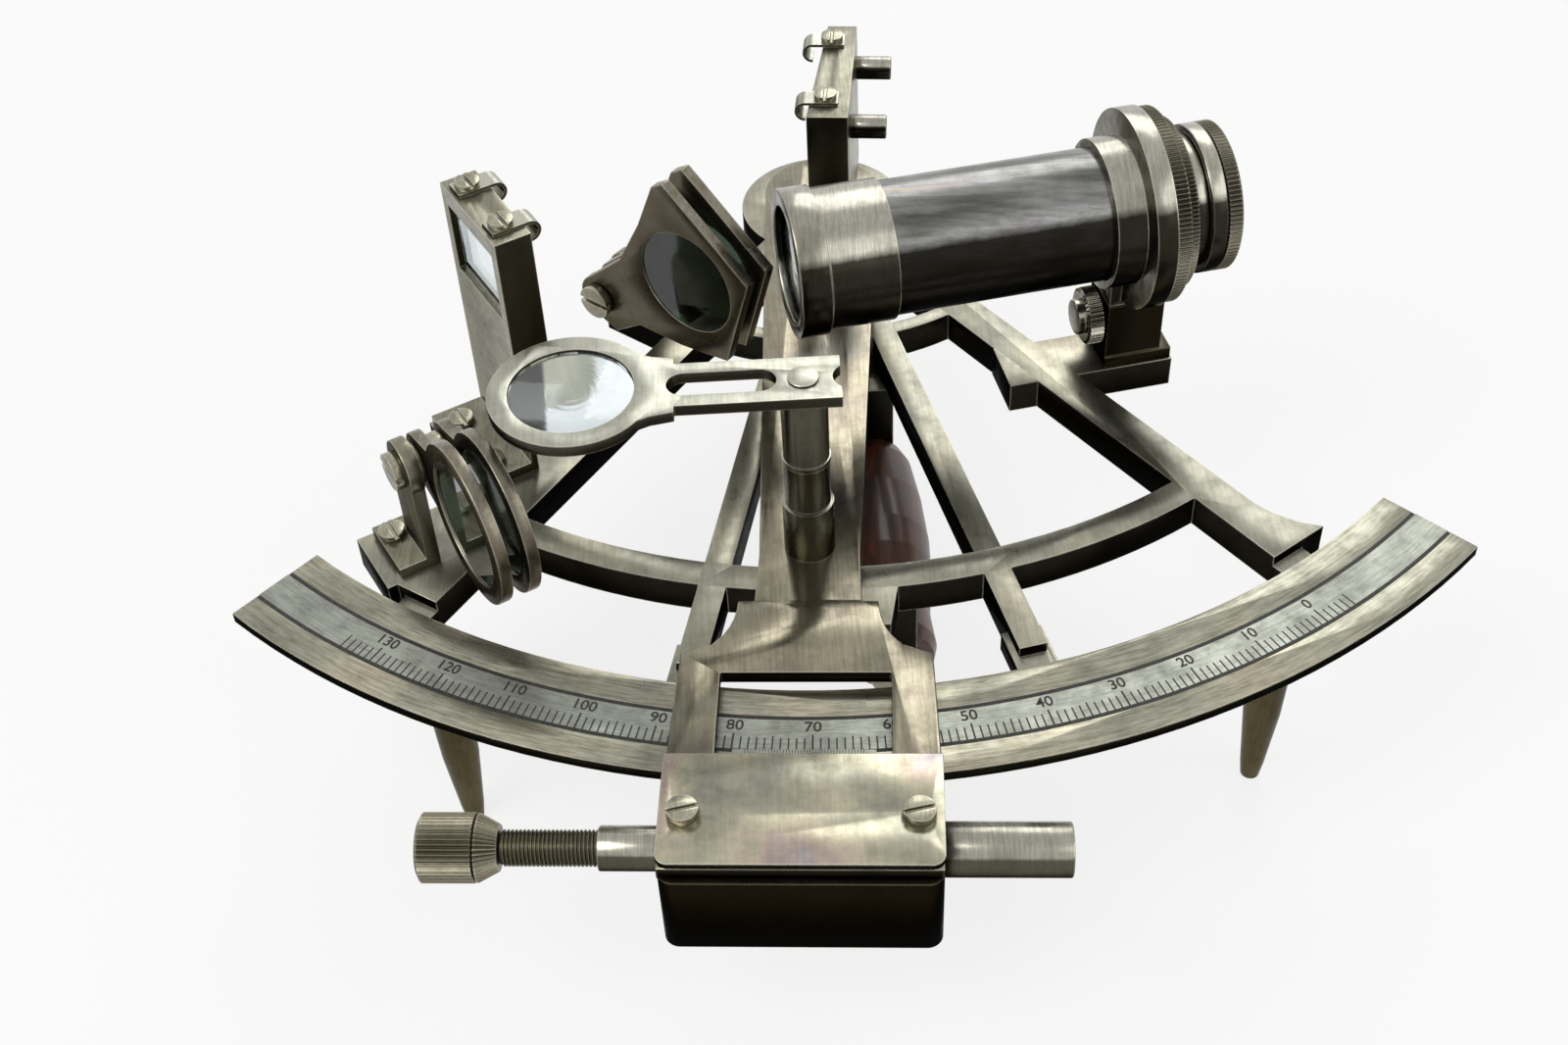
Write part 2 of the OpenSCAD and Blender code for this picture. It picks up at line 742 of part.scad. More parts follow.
module magnifier_post() {
    color("darkkhaki") at_magnifier() difference() {
        union() {
            translate([0, 0, arm_top]) cylinder(r = post_r, h = 13);
            translate([0, 0, arm_top]) cylinder(r = post_top_r, h = post_top_z - arm_top);
            translate([0, 0, 28]) cylinder(r = post_top_r + 0.25, h = 1.2);
        }
        translate([0, 0, post_top_z - 8]) cylinder(r = magnifier_pin_r + fit_gap, h = 9);
    }
}

module magnifier_plate() {
    tail = 7.2;
    neck_half = 7.8;
    tail_half = 6.2;
    slot_r = 3.15;
    color("darkkhaki") at_magnifier() translate([0, 0, magnifier_z - magnifier_t]) difference() {
        union() {
            translate([-magnifier_reach, 0, 0]) cylinder(r = magnifier_ring_r, h = magnifier_t);
            linear_extrude(magnifier_t) polygon([[tail, -tail_half], [-24.5, -tail_half], [-24.5, -neck_half],
                [-29, -neck_half - 0.9], [-33, -neck_half - 2.7], [-36.5, -neck_half - 5.4],
                [-36.5, neck_half + 5.4], [-33, neck_half + 2.7], [-29, neck_half + 0.9],
                [-24.5, neck_half], [-24.5, tail_half], [tail, tail_half]]);
        }
        translate([-magnifier_reach, 0, -eps])
            cylinder(r = magnifier_lens_r + 0.5 + fit_gap, h = magnifier_t + 1);
        translate([0, 0, -eps]) cylinder(r = magnifier_pin_r + run_gap, h = magnifier_t + 1);
        translate([tail + 2, 0, -eps]) cylinder(r = 3.6, h = magnifier_t + 1);
        for (x = [-8.2, -22.8]) translate([x, 0, -eps]) cylinder(r = slot_r, h = magnifier_t + 1);
        translate([-22.8, -slot_r, -eps]) cube([14.6, 2 * slot_r, magnifier_t + 1]);
    }
}

module magnifier_lens() {
    color("lightcyan") at_magnifier() translate([-magnifier_reach, 0, magnifier_z - magnifier_t])
        lens(magnifier_lens_r + 0.5, 1.4, magnifier_t);
}

module magnifier_screw() {
    low = post_top_z - 7.5;
    color("gainsboro") at_magnifier() translate([0, 0, low]) {
        cylinder(r = magnifier_pin_r, h = magnifier_z + 0.1 - low);
        translate([0, 0, magnifier_z + 0.1 - low]) cylinder(r = screw_head_r, h = 0.3);
    }
}

// The telescope's fixed block, on a pad beside the right-hand outer bar
module at_mount() {
    stand() translate(scope_start) rotate([0, 0, scope_angle])
        translate([mount_at, mount_side, 0]) children();
}

module telescope_socket() {
    foot_t = 3;
    hole = stem_w + 2 * run_gap;
    color("dimgray") at_mount() difference() {
        union() {
            translate([-socket_l / 2, -socket_d / 2, 0]) cube([socket_l, socket_d, socket_top]);
            translate([-socket_l / 2, -socket_d / 2 - 0.5, 0]) cube([socket_l + 2.5, socket_d + 1, foot_t]);
        }
        translate([-hole / 2, -hole / 2, 1]) cube([hole, hole, socket_top]);
        translate([-socket_l / 2 - eps, 0, 11]) rotate([0, 90, 0]) cylinder(r = 1.5 + run_gap, h = 5);
    }
}

module rise_screw() {
    color("darkkhaki") at_mount() translate([-socket_l / 2 - side_gap, 0, 11]) rotate([0, -90, 0]) {
        cylinder(r = 6.5, h = 4);
        cylinder(r = 4, h = 5.5);
        translate([0, 0, -(socket_l - stem_w) / 2 - side_gap + 2 * run_gap]) cylinder(r = 1.5, h = 5);
    }
}

// Ring round the telescope, its saddle and the square stem, in one piece
module telescope_ring() {
    saddle_z = socket_top + side_gap;
    color("darkkhaki") difference() {
        union() {
            on_scope(ring_at) cylinder(r = eyepiece_r, h = knurl_at - ring_at);
            on_scope(flange_at) cylinder(r = flange_r, h = knurl_at - flange_at);
            at_mount() {
                translate([-stem_w / 2, -stem_w / 2, 1.5]) cube([stem_w, stem_w, saddle_z]);
                translate([-socket_l / 2, -socket_d / 2, saddle_z])
                    cube([socket_l, socket_d, scope_z - knurl_r - side_gap - saddle_z]);
                translate([-socket_l / 2, -socket_d / 2, saddle_z])
                    cube([knurl_at - mount_at + socket_l / 2 - 0.6, socket_d,
                        scope_z - saddle_z - tube_r + 3]);
            }
        }
        on_scope(ring_at - socket_l) cylinder(r = tube_r + fit_gap, h = 3 * socket_l);
    }
}

module telescope_tube() {
    color("dimgray") on_scope(4) difference() {
        cylinder(r = tube_r, h = knurl_at - 4);
        translate([0, 0, -eps]) cylinder(r = bore_r, h = scope_l);
    }
}

module objective_cell() {
    color("darkkhaki") on_scope() difference() {
        union() {
            cylinder(r = cell_front_r, h = 6.5);
            cylinder(r = cell_rear_r, h = 21);
        }
        translate([0, 0, -eps]) cylinder(r = 12.2, h = 3);
        translate([0, 0, 1.5]) cylinder(r = tube_r + fit_gap, h = 25);
    }
}

module objective_lens() {
    color("lightcyan") on_scope(1.55) lens(tube_r - 0.1, 1.3, 2.3);
}

module knurled_ring() {
    color("dimgray") on_scope() difference() {
        union() {
            translate([0, 0, knurl_at]) cylinder(r = knurl_r, h = knurl_2_at - knurl_at);
            translate([0, 0, knurl_2_at]) cylinder(r = knurl_r - 2.5, h = neck_at - knurl_2_at);
            translate([0, 0, neck_at]) cylinder(r = eyepiece_r - 1.5, h = eyepiece_at - neck_at - 0.2);
        }
        translate([0, 0, knurl_at - eps]) cylinder(r = draw_r + run_gap, h = 12);
    }
}

module eyepiece_tube() {
    inside = 16 + focus_travel;
    color("darkkhaki") on_scope(eyepiece_at - inside) difference() {
        cylinder(r = draw_r, h = inside);
        translate([0, 0, -eps]) cylinder(r = draw_r - 1.4, h = inside + 1);
    }
}

module eyepiece_ring() {
    color("dimgray") on_scope(eyepiece_at) difference() {
        cylinder(r = eyepiece_r, h = scope_l - eyepiece_at);
        translate([0, 0, -eps]) cylinder(r = 6, h = 20);
        translate([0, 0, 5.2]) cylinder(r = 11, h = 20);
    }
}

module eye_lens() {
    color("lightcyan") on_scope(eyepiece_at - 3) lens(draw_r - 1.4 - fit_gap, 1.5, 2.9);
}

module horizon_bracket() {
    half = horizon_w / 2;
    wall = 2.6;
    flange_d = 8;
    side_low = arm_top + 4;
    foot_d = 12;
    window_low = horizon_split_z;
    window_high = horizon_h - 4;
    color("darkkhaki") at_horizon() difference() {
        union() {
            translate([-half, 0, 0]) cube([horizon_w, sheet_t, horizon_h]);
            translate([-half, 0, horizon_h - sheet_t]) cube([horizon_w, flange_d, sheet_t]);
            translate([half - sheet_t, 0, side_low]) cube([sheet_t, flange_d, horizon_h - side_low]);
            translate([-half, 0, 22]) cube([horizon_w, sheet_t + glass_t + 1, sheet_t]);
            translate([-half, -foot_d, 0]) cube([horizon_w, foot_d + sheet_t, bracket_foot_t]);
        }
        translate([-half + wall, -1, window_low])
            cube([horizon_w - 2 * wall, sheet_t + 2, window_high - window_low]);
        horizon_clip_places() translate([0, 0, -3]) cylinder(r = 1.1 + fit_gap, h = 6);
        for (side = [-1, 1]) translate([side * clip_side, -7, -1]) cylinder(r = fixing_r + fit_gap, h = 8);
    }
}

module horizon_clip_places() {
    for (side = [-1, 1]) translate([side * clip_side, 4, horizon_h]) children();
}

module horizon_clear_glass() {
    half = horizon_w / 2 - sheet_t - 0.1;
    color("lightcyan") at_horizon() translate([-half, sheet_t, horizon_split_z])
        cube([2 * half, glass_t, horizon_h - sheet_t - 0.4 - horizon_split_z]);
}

module horizon_silvered_glass() {
    half = horizon_w / 2 - sheet_t - 0.1;
    ledge = 22 + sheet_t;
    color("silver") at_horizon() translate([-half, sheet_t, ledge])
        cube([2 * half, glass_t, horizon_split_z - ledge]);
}

// A spring clip on top of a bracket; it runs along +Y and curls down over the edge
module spring_clip(reach) {
    difference() {
        union() {
            translate([-clip_w / 2, -3, 0]) cube([clip_w, reach + 3, clip_t]);
            translate([-clip_w / 2, reach, clip_t - clip_hook_r]) rotate([0, 90, 0])
                rotate_extrude(angle = 180) translate([clip_hook_r - clip_t, 0]) square([clip_t, clip_w]);
        }
        translate([0, 0, -1]) cylinder(r = 1.1 + fit_gap, h = 4);
    }
}

module horizon_clips() {
    color("gainsboro") at_horizon() horizon_clip_places() spring_clip(5);
}

module index_bracket() {
    half = index_l / 2;
    back = -index_d / 2;
    far_d = index_d - 2.5;
    color("darkkhaki") at_index() difference() {
        union() {
            translate([-half, back, arm_top]) cube([index_l, sheet_t, index_h - arm_top]);
            translate([-half, back, arm_top]) cube([sheet_t, index_d, index_h - arm_top]);
            translate([0, 0, index_h - sheet_t]) linear_extrude(sheet_t)
                polygon([[-half, back], [half, back], [half, back + far_d], [-half, back + index_d]]);
            translate([-half, back, arm_top]) cube([index_l, index_d, index_foot_t]);
        }
        index_clip_places() translate([0, 0, -3]) cylinder(r = 1.1 + fit_gap, h = 6);
    }
}

module index_clip_places() {
    for (side = [-1, 1]) translate([side * 12.7, 0.8, index_h]) children();
}

module index_mirror() {
    half = index_l / 2 - sheet_t - 0.1;
    low = arm_top + index_foot_t;
    color("silver") at_index() translate([-half, -index_d / 2 + sheet_t, low])
        cube([2 * half, glass_t, index_h - sheet_t - 0.4 - low]);
}

module index_clips() {
    color("gainsboro") at_index() index_clip_places() spring_clip(4.6);
}

module clip_screw() {
    translate([0, 0, clip_t]) slotted_screw(clip_head_r, clip_head_h, 1.1, clip_t + sheet_t + 0.3);
}

module adjusting_pegs() {
    peg_r = 2.75;
    peg_l = 8.5;
    peg_drop = 7;
    color("darkkhaki") at_index() for (side = [-1, 1])
        translate([side * 12.75, -index_d / 2, index_h - peg_drop]) rotate([90, 0, 0])
            cylinder(r = peg_r, h = peg_l);
}

// Plate outline of an index shade, in the plane of the plate
module index_shade_outline() {
    difference() {
        union() {
            translate([0, index_shade_pin_z]) circle(r = 5.6);
            polygon([[-1, 5.6], [4.3, 3.4], [11.8, 8.4], [24, 8.2], [37.4, 9.8], [44.6, 33.2], [22.6, 51],
                [19.4, 49], [14.4, 37.4], [7.5, 25], [-3, 15.7]]);
        }
        translate(index_shade_glass_at) circle(r = index_shade_glass_r + fit_gap);
        translate([0, index_shade_pin_z]) circle(r = shade_pin_r + run_gap);
    }
}

module index_shade(number) {
    at_index_shades() translate([0, number * index_shade_pitch + shade_t / 2, 0])
        upright(shade_t) index_shade_outline();
}

module index_shade_glass(number) {
    glass = shade_t - 0.8;
    at_index_shades() translate([index_shade_glass_at[0], number * index_shade_pitch + glass / 2,
        index_shade_glass_at[1]]) rotate([90, 0, 0]) cylinder(r = index_shade_glass_r, h = glass);
}

module index_shade_1() {
    color("darkkhaki") index_shade(0);
}

module index_shade_2() {
    color("darkkhaki") index_shade(1);
}

module index_shade_glass_1() {
    color("darkslategray") index_shade_glass(0);
}

module index_shade_glass_2() {
    color("darkslategray") index_shade_glass(1);
}

module index_shade_bracket() {
    back = shade_back_y();
    color("darkkhaki") at_index_shades() difference() {
        union() {
            translate([-6, back, 0]) cube([12, 3, index_shade_pin_z]);
            translate([0, back + 3, index_shade_pin_z]) rotate([90, 0, 0]) cylinder(r = 6, h = 3);
            translate([-6, back, 0]) cube([12, 9, bracket_foot_t]);
        }
        translate([0, back + 4, index_shade_pin_z]) rotate([90, 0, 0])
            cylinder(r = shade_pin_r + fit_gap, h = 5);
        translate([0, back + 6, -1]) cylinder(r = fixing_r + fit_gap, h = 5);
    }
}

module index_shade_pin() {
    front = -shade_t / 2 - 0.3;
    back = shade_back_y() + 3;
    color("gainsboro") at_index_shades() translate([0, 0, index_shade_pin_z]) {
        translate([0, front, 0]) rotate([90, 0, 0]) slotted_screw(4, 2, shade_pin_r, back - front);
        translate([0, index_shade_pitch - shade_t / 2 - 0.3, 0]) rotate([90, 0, 0])
            cylinder(r = 4.5, h = index_shade_pitch - shade_t - 0.6);
        translate([0, shade_back_y(), 0]) rotate([90, 0, 0]) cylinder(r = 4.5, h = 0.9);
    }
}

module horizon_shade_outline() {
    g = horizon_shade_glass_at;
    difference() {
        union() {
            translate([0, horizon_shade_pin_z]) circle(r = 6);
            translate(g) circle(r = horizon_shade_ring_r);
            polygon([[0, horizon_shade_pin_z - 6], [g[0], g[1] - 12], [g[0], g[1] + 12],
                [0, horizon_shade_pin_z + 6]]);
        }
        translate(g) circle(r = horizon_shade_glass_r + fit_gap);
        translate([0, horizon_shade_pin_z]) circle(r = shade_pin_r + run_gap);
    }
}

module horizon_shade(number) {
    y = horizon_shade_first_y - number * horizon_shade_pitch;
    at_horizon_shades() {
        translate([0, y + shade_t / 2, 0]) upright(shade_t) horizon_shade_outline();
    }
}

module horizon_shade_glass(number) {
    y = horizon_shade_first_y - number * horizon_shade_pitch;
    glass = shade_t - 0.8;
    at_horizon_shades() translate([horizon_shade_glass_at[0], y + glass / 2, horizon_shade_glass_at[1]])
        rotate([90, 0, 0]) cylinder(r = horizon_shade_glass_r, h = glass);
}

module horizon_shade_glass_1() {
    color("darkslategray") horizon_shade_glass(0);
}

module horizon_shade_glass_2() {
    color("darkslategray") horizon_shade_glass(1);
}

module horizon_shade_1() {
    color("darkkhaki") horizon_shade(0);
}

module horizon_shade_2() {
    color("darkkhaki") horizon_shade(1);
}

module horizon_shade_bracket() {
    back = horizon_shade_back_y();
    color("darkkhaki") at_horizon_shades() difference() {
        union() {
            translate([-6, back - 3, 0]) cube([11, 3, horizon_shade_pin_z]);
            translate([0, back, horizon_shade_pin_z]) rotate([90, 0, 0]) cylinder(r = 6, h = 3);
            translate([-10, back - 9, 0]) cube([15, 9, bracket_foot_t]);
        }
        translate([0, back + 1, horizon_shade_pin_z]) rotate([90, 0, 0])
            cylinder(r = shade_pin_r + fit_gap, h = 5);
        translate([-6, back - 6, -1]) cylinder(r = fixing_r + fit_gap, h = 5);
    }
}

module horizon_shade_pin() {
    back = horizon_shade_back_y() - 3;
    front = horizon_shade_first_y + shade_t / 2 + 0.3;
    color("gainsboro") at_horizon_shades() translate([0, 0, horizon_shade_pin_z]) {
        translate([0, back, 0]) rotate([90, 0, 0]) slotted_screw(4, 2.2, shade_pin_r, front - back);
        translate([0, front + 1.6, 0]) rotate([90, 0, 0]) cylinder(r = 3.6, h = 1.6, $fn = 6);
        translate([0, horizon_shade_first_y - shade_t / 2 - 0.3, 0]) rotate([90, 0, 0])
            cylinder(r = 4.5, h = horizon_shade_pitch - shade_t - 0.6);
        translate([0, back + 3.9, 0]) rotate([90, 0, 0]) cylinder(r = 4.5, h = 0.9);
    }
}

// Small screws that hold the brackets on the frame
module bracket_screws() {
    color("gainsboro") {
        stand() bracket_screw_places() translate([0, 0, bracket_foot_t])
            slotted_screw(2.8, 1.4, fixing_r, bracket_screw_l);
        at_horizon() horizon_clip_places() clip_screw();
    }
}

frame_casting();
limb();
silver_scale();
limb_screws();
leg_left();
leg_right();
leg_rear();
handle_grip();
handle_brackets();
handle_rod();
pivot_bush();
pivot_arbor();
pivot_nut();
index_arm();
vernier();
cover_plate();
arm_screws();
tangent_box();
tangent_sleeve();
spring_barrel();
tangent_spring();
clamp_block();
clamp_screw();
tangent_screw();
tangent_knob();
magnifier_post();
magnifier_plate();
magnifier_lens();
magnifier_screw();
telescope_socket();
rise_screw();
telescope_ring();
telescope_tube();
objective_cell();
objective_lens();
knurled_ring();
eyepiece_tube();
eyepiece_ring();
eye_lens();
horizon_bracket();
horizon_clear_glass();
horizon_silvered_glass();
horizon_clips();
index_bracket();
index_mirror();
index_clips();
adjusting_pegs();
index_shade_bracket();
index_shade_pin();
index_shade_1();
index_shade_2();
index_shade_glass_1();
index_shade_glass_2();
horizon_shade_bracket();
horizon_shade_pin();
horizon_shade_1();
horizon_shade_2();
horizon_shade_glass_1();
horizon_shade_glass_2();
bracket_screws();
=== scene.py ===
import json
import math
import bpy
import bmesh
from mathutils import Matrix, Vector


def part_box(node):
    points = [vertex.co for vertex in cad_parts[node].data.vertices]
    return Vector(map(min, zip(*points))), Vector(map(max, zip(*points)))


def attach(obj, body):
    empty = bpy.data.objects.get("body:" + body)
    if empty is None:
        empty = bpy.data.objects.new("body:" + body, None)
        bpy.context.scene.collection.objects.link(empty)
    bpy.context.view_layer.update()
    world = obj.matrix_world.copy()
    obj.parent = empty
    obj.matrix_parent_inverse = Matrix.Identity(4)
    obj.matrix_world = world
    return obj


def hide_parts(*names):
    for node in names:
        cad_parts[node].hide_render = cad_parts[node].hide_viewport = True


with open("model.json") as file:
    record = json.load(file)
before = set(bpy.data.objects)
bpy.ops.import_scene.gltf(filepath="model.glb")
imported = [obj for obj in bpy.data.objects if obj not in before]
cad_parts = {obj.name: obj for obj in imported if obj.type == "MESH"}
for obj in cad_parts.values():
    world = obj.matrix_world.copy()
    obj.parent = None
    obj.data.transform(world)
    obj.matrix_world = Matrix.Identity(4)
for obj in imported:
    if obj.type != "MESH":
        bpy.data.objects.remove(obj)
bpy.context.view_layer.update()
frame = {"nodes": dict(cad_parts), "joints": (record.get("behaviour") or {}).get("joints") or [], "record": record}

# Antique brass sextant on its legs, seen from the arc side
nodes = frame["nodes"]
joints = {joint["name"]: joint for joint in frame["joints"]}
pivot = Vector(joints["index_arm_swing"]["pos_m"])  # on the hub, level with the limb's top face
restAngle = -4  # degrees from the middle line to the index arm at rest
pieces = []


def mm(value):
    return value / 1000


def hexColour(text):
    # sRGB hex to linear
    channels = [int(text[i:i + 2], 16) / 255 for i in (1, 3, 5)]
    return [c / 12.92 if c <= 0.04045 else ((c + 0.055) / 1.055) ** 2.4 for c in channels] + [1]


def addNode(owner, kind, settings=None, inputs=None, stops=None):
    # The owner is a material or the world; an input takes a value or another node's socket
    node = owner.node_tree.nodes.new(kind)
    for name, value in (settings or {}).items():
        setattr(node, name, value)
    if stops:
        ramp = node.color_ramp
        while len(ramp.elements) < len(stops):
            ramp.elements.new(1)
        for element, (place, colour) in zip(ramp.elements, stops):
            element.position = place
            element.color = hexColour(colour)
    for name, value in (inputs or {}).items():
        if isinstance(value, bpy.types.NodeSocket):
            owner.node_tree.links.new(value, node.inputs[name])
        else:
            node.inputs[name].default_value = value
    return node


def newMaterial(name):
    material = bpy.data.materials.new(name)
    material.use_nodes = True
    material.node_tree.nodes.clear()
    return material


white = (1, 1, 1, 1)
arcGrain = 0.012  # metres of pattern to a radian round the pivot, so the lines run long there


def agedMetal(name, look):
    # Metal with a patina: broad warm and cold patches, fine mottling and brush lines; its sides get painted shade
    material = newMaterial(name)
    place = addNode(material, "ShaderNodeTexCoord")
    turn = (0, 0, math.radians(look["grainAngle"]))
    centred = addNode(material, "ShaderNodeMapping", {"vector_type": "POINT"},
                      {"Vector": place.outputs["Object"], "Location": (-pivot.x, -pivot.y, 0)})
    grain = addNode(material, "ShaderNodeMapping", {"vector_type": "POINT"},
                    {"Vector": centred.outputs[0], "Rotation": turn,
                     "Scale": look["grainStretch"]}).outputs[0]
    if look["grainRound"]:  # turned or swept round the pivot, so the lines follow the arc
        parts = addNode(material, "ShaderNodeSeparateXYZ", None, {0: centred.outputs[0]})
        flat = addNode(material, "ShaderNodeCombineXYZ", None,
                       {0: parts.outputs[0], 1: parts.outputs[1]})
        radius = addNode(material, "ShaderNodeVectorMath", {"operation": "LENGTH"},
                         {0: flat.outputs[0]})
        swing = addNode(material, "ShaderNodeMath", {"operation": "ARCTAN2"},
                        {0: parts.outputs[0], 1: parts.outputs[1]})
        sweep = addNode(material, "ShaderNodeMath", {"operation": "MULTIPLY"},
                        {0: swing.outputs[0], 1: arcGrain})
        grain = addNode(material, "ShaderNodeCombineXYZ", None,
                        {0: radius.outputs["Value"], 1: sweep.outputs[0],
                         2: parts.outputs[2]}).outputs[0]
    drawn = addNode(material, "ShaderNodeMapping", {"vector_type": "POINT"},
                    {"Vector": centred.outputs[0], "Rotation": turn, "Scale": look["patchStretch"]})
    patches = addNode(material, "ShaderNodeTexNoise", None,
                      {"Vector": drawn.outputs[0], "Scale": 1 / mm(look["patchMm"]),
                       "Detail": 4, "Roughness": 0.6})
    mottle = addNode(material, "ShaderNodeTexNoise", None,
                     {"Vector": centred.outputs[0], "Scale": 1 / mm(look["mottleMm"]),
                      "Detail": 5, "Roughness": 0.7})
    lines = addNode(material, "ShaderNodeTexNoise", None,
                    {"Vector": grain, "Scale": 1 / mm(look["lineMm"]),
                     "Detail": 3, "Roughness": 0.65})

    # Colour of the wiped faces: patches, then spots, then brush lines
    broad = addNode(material, "ShaderNodeValToRGB", None, {0: patches.outputs[0]}, look["patina"])
    spotFrom, spotTo = look["spotRange"]
    spots = addNode(material, "ShaderNodeValToRGB", None, {0: mottle.outputs[0]},
                    [(spotFrom, look["spot"]), (spotTo, "#ffffff")])
    spotted = addNode(material, "ShaderNodeMix", {"data_type": "RGBA", "blend_type": "MULTIPLY"},
                      {0: look["spotAmount"], 6: broad.outputs[0], 7: spots.outputs[0]})
    lineFrom, lineTo = look["lineRange"]
    tone = addNode(material, "ShaderNodeValToRGB", None, {0: lines.outputs[0]},
                   [(lineFrom, look["lineDark"]), (lineTo, "#ffffff")])
    lined = addNode(material, "ShaderNodeMix", {"data_type": "RGBA", "blend_type": "MULTIPLY"},
                    {0: look["lineAmount"], 6: spotted.outputs[2], 7: tone.outputs[0]})

    # Painted shade: faces turned from up (with paintedShadeBelow, faces turned down too) darken to the side colour
    # and a dimmer reflection tint; faces across faceAxis are painted light
    facing = addNode(material, "ShaderNodeSeparateXYZ", None, {0: place.outputs["Normal"]})
    upward = facing.outputs[2]
    if not look["paintedShadeBelow"]:
        upward = addNode(material, "ShaderNodeMath", {"operation": "ABSOLUTE"},
                         {0: upward}).outputs[0]
    along = addNode(material, "ShaderNodeVectorMath", {"operation": "DOT_PRODUCT"},
                    {0: place.outputs["Normal"], 1: look["faceAxis"]})
    ends = addNode(material, "ShaderNodeMath", {"operation": "ABSOLUTE"},
                   {0: along.outputs["Value"]})
    # Painted light: faces across faceAxis are lightened by paintedFaceLight
    rubbed = addNode(material, "ShaderNodeMath", {"operation": "MULTIPLY"},
                     {0: ends.outputs[0], 1: look["paintedFaceLight"]})
    paintedLitFacing = addNode(material, "ShaderNodeMath", {"operation": "MAXIMUM"},
                    {0: upward, 1: rubbed.outputs[0]})
    waver = addNode(material, "ShaderNodeMath", {"operation": "MULTIPLY_ADD"},
                    {0: mottle.outputs[0], 1: look["waver"], 2: paintedLitFacing.outputs[0]})
    side = addNode(material, "ShaderNodeMapRange", None,
                   {0: waver.outputs[0], 1: look["sideFrom"], 2: look["sideTo"],
                    3: look["sideAmount"], 4: 0})
    sided = addNode(material, "ShaderNodeMix", {"data_type": "RGBA"},
                    {0: side.outputs[0], 6: lined.outputs[2], 7: hexColour(look["side"])})
    # Painted shade on the reflection too: shaded faces get a grey reflection tint
    paintedDimReflection = addNode(material, "ShaderNodeMix", {"data_type": "RGBA"},
                     {0: side.outputs[0], 6: white, 7: hexColour(look["sideSheen"])})

    # Edges are worn bright where a rounded normal leaves the flat one
    rounded = addNode(material, "ShaderNodeBevel", {"samples": 4}, {"Radius": mm(look["wearMm"])})
    flatNormal = addNode(material, "ShaderNodeNewGeometry")
    closeness = addNode(material, "ShaderNodeVectorMath", {"operation": "DOT_PRODUCT"},
                        {0: rounded.outputs[0], 1: flatNormal.outputs["Normal"]})
    wearFrom, wearTo = look["wearRange"]
    wear = addNode(material, "ShaderNodeMapRange", None,
                   {0: closeness.outputs["Value"], 1: wearFrom, 2: wearTo,
                    3: 0, 4: look["edgeAmount"]})
    worn = addNode(material, "ShaderNodeMix", {"data_type": "RGBA"},
                   {0: wear.outputs[0], 6: sided.outputs[2], 7: hexColour(look["edge"])})

    glossFrom, glossTo = look["glossRange"]
    gloss = addNode(material, "ShaderNodeMapRange", None,
                    {0: mottle.outputs[0], 1: glossFrom, 2: glossTo,
                     3: look["roughness"] + look["duller"],
                     4: look["roughness"] - look["glossier"]})
    height = addNode(material, "ShaderNodeMath", {"operation": "MULTIPLY_ADD"},
                     {0: mottle.outputs[0], 1: look["mottleDepth"], 2: lines.outputs[0]})
    bump = addNode(material, "ShaderNodeBump", None,
                   {"Strength": look["bump"], "Distance": mm(look["bumpMm"]),
                    "Height": height.outputs[0]})
    shader = addNode(material, "ShaderNodeBsdfPrincipled", None,
                     {"Base Color": worn.outputs[2], "Metallic": look["metallic"],
                      "Roughness": gloss.outputs[0], "Specular Tint": paintedDimReflection.outputs[2],
                      "Normal": bump.outputs[0]})
    addNode(material, "ShaderNodeOutputMaterial", None, {0: shader.outputs[0]})
    return material


# What all the metals share; each finish below changes what differs, including its painted shade and painted light
antiqueBrass = {
    "patina": [(0.3, "#7d7c71"), (0.45, "#969587"), (0.58, "#aaa694"), (0.7, "#9e9686"),
               (0.82, "#86867c")],
    "patchMm": 34, "patchStretch": (1, 1, 1), "mottleMm": 5, "lineMm": 0.7,
    "spot": "#706c5f", "spotAmount": 0.3, "spotRange": (0.3, 0.56),
    "lineDark": "#a5a192", "lineAmount": 0.5, "lineRange": (0.3, 0.62),
    "grainAngle": 8, "grainStretch": (1, 0.06, 1), "grainRound": False,
    # Painted shade on faces turned from up: its colour, amount and range
    "side": "#100e09", "sideAmount": 0.97, "sideFrom": 0.45, "sideTo": 0.95, "waver": 0.25,
    "paintedShadeBelow": False, "faceAxis": (0, 0, 1), "paintedFaceLight": 0, "sideSheen": "#5f5f5f",
    "edge": "#d6d2be", "edgeAmount": 0.7, "wearMm": 0.5, "wearRange": (0.99, 0.86),
    "roughness": 0.25, "duller": 0.08, "glossier": 0.05, "glossRange": (0.3, 0.7),
    "bump": 0.12, "bumpMm": 0.05, "mottleDepth": 0.3, "metallic": 0.97}

# Turned pieces are painted light along their tops and on their ends, and painted shade underneath
scopeAngle = 10.2  # degrees from the side axis to the telescope
turned = {
    **antiqueBrass, "paintedShadeBelow": True, "sideFrom": 0.53, "sideTo": 0.63, "waver": 0.06,
    "faceAxis": (math.cos(math.radians(scopeAngle)), math.sin(math.radians(scopeAngle)), 0),
    "paintedFaceLight": 0.57, "grainAngle": -scopeAngle}

# The mirror brackets are painted light on their broad faces, and painted shade on their end walls
horizonAngle = math.radians(28.8)
bracketBrass = {
    **antiqueBrass, "side": "#2b271b", "sideAmount": 0.93, "paintedFaceLight": 0.92, "roughness": 0.3,
    "patina": [(0.3, "#757263"), (0.5, "#8f8d7d"), (0.7, "#7f7567")]}

# Sand-cast antiqued brass: satin tops, with painted shade on the sides
castBrass = agedMetal("antiqued cast brass", {**antiqueBrass, "roughness": 0.3, "lineAmount": 0.3})
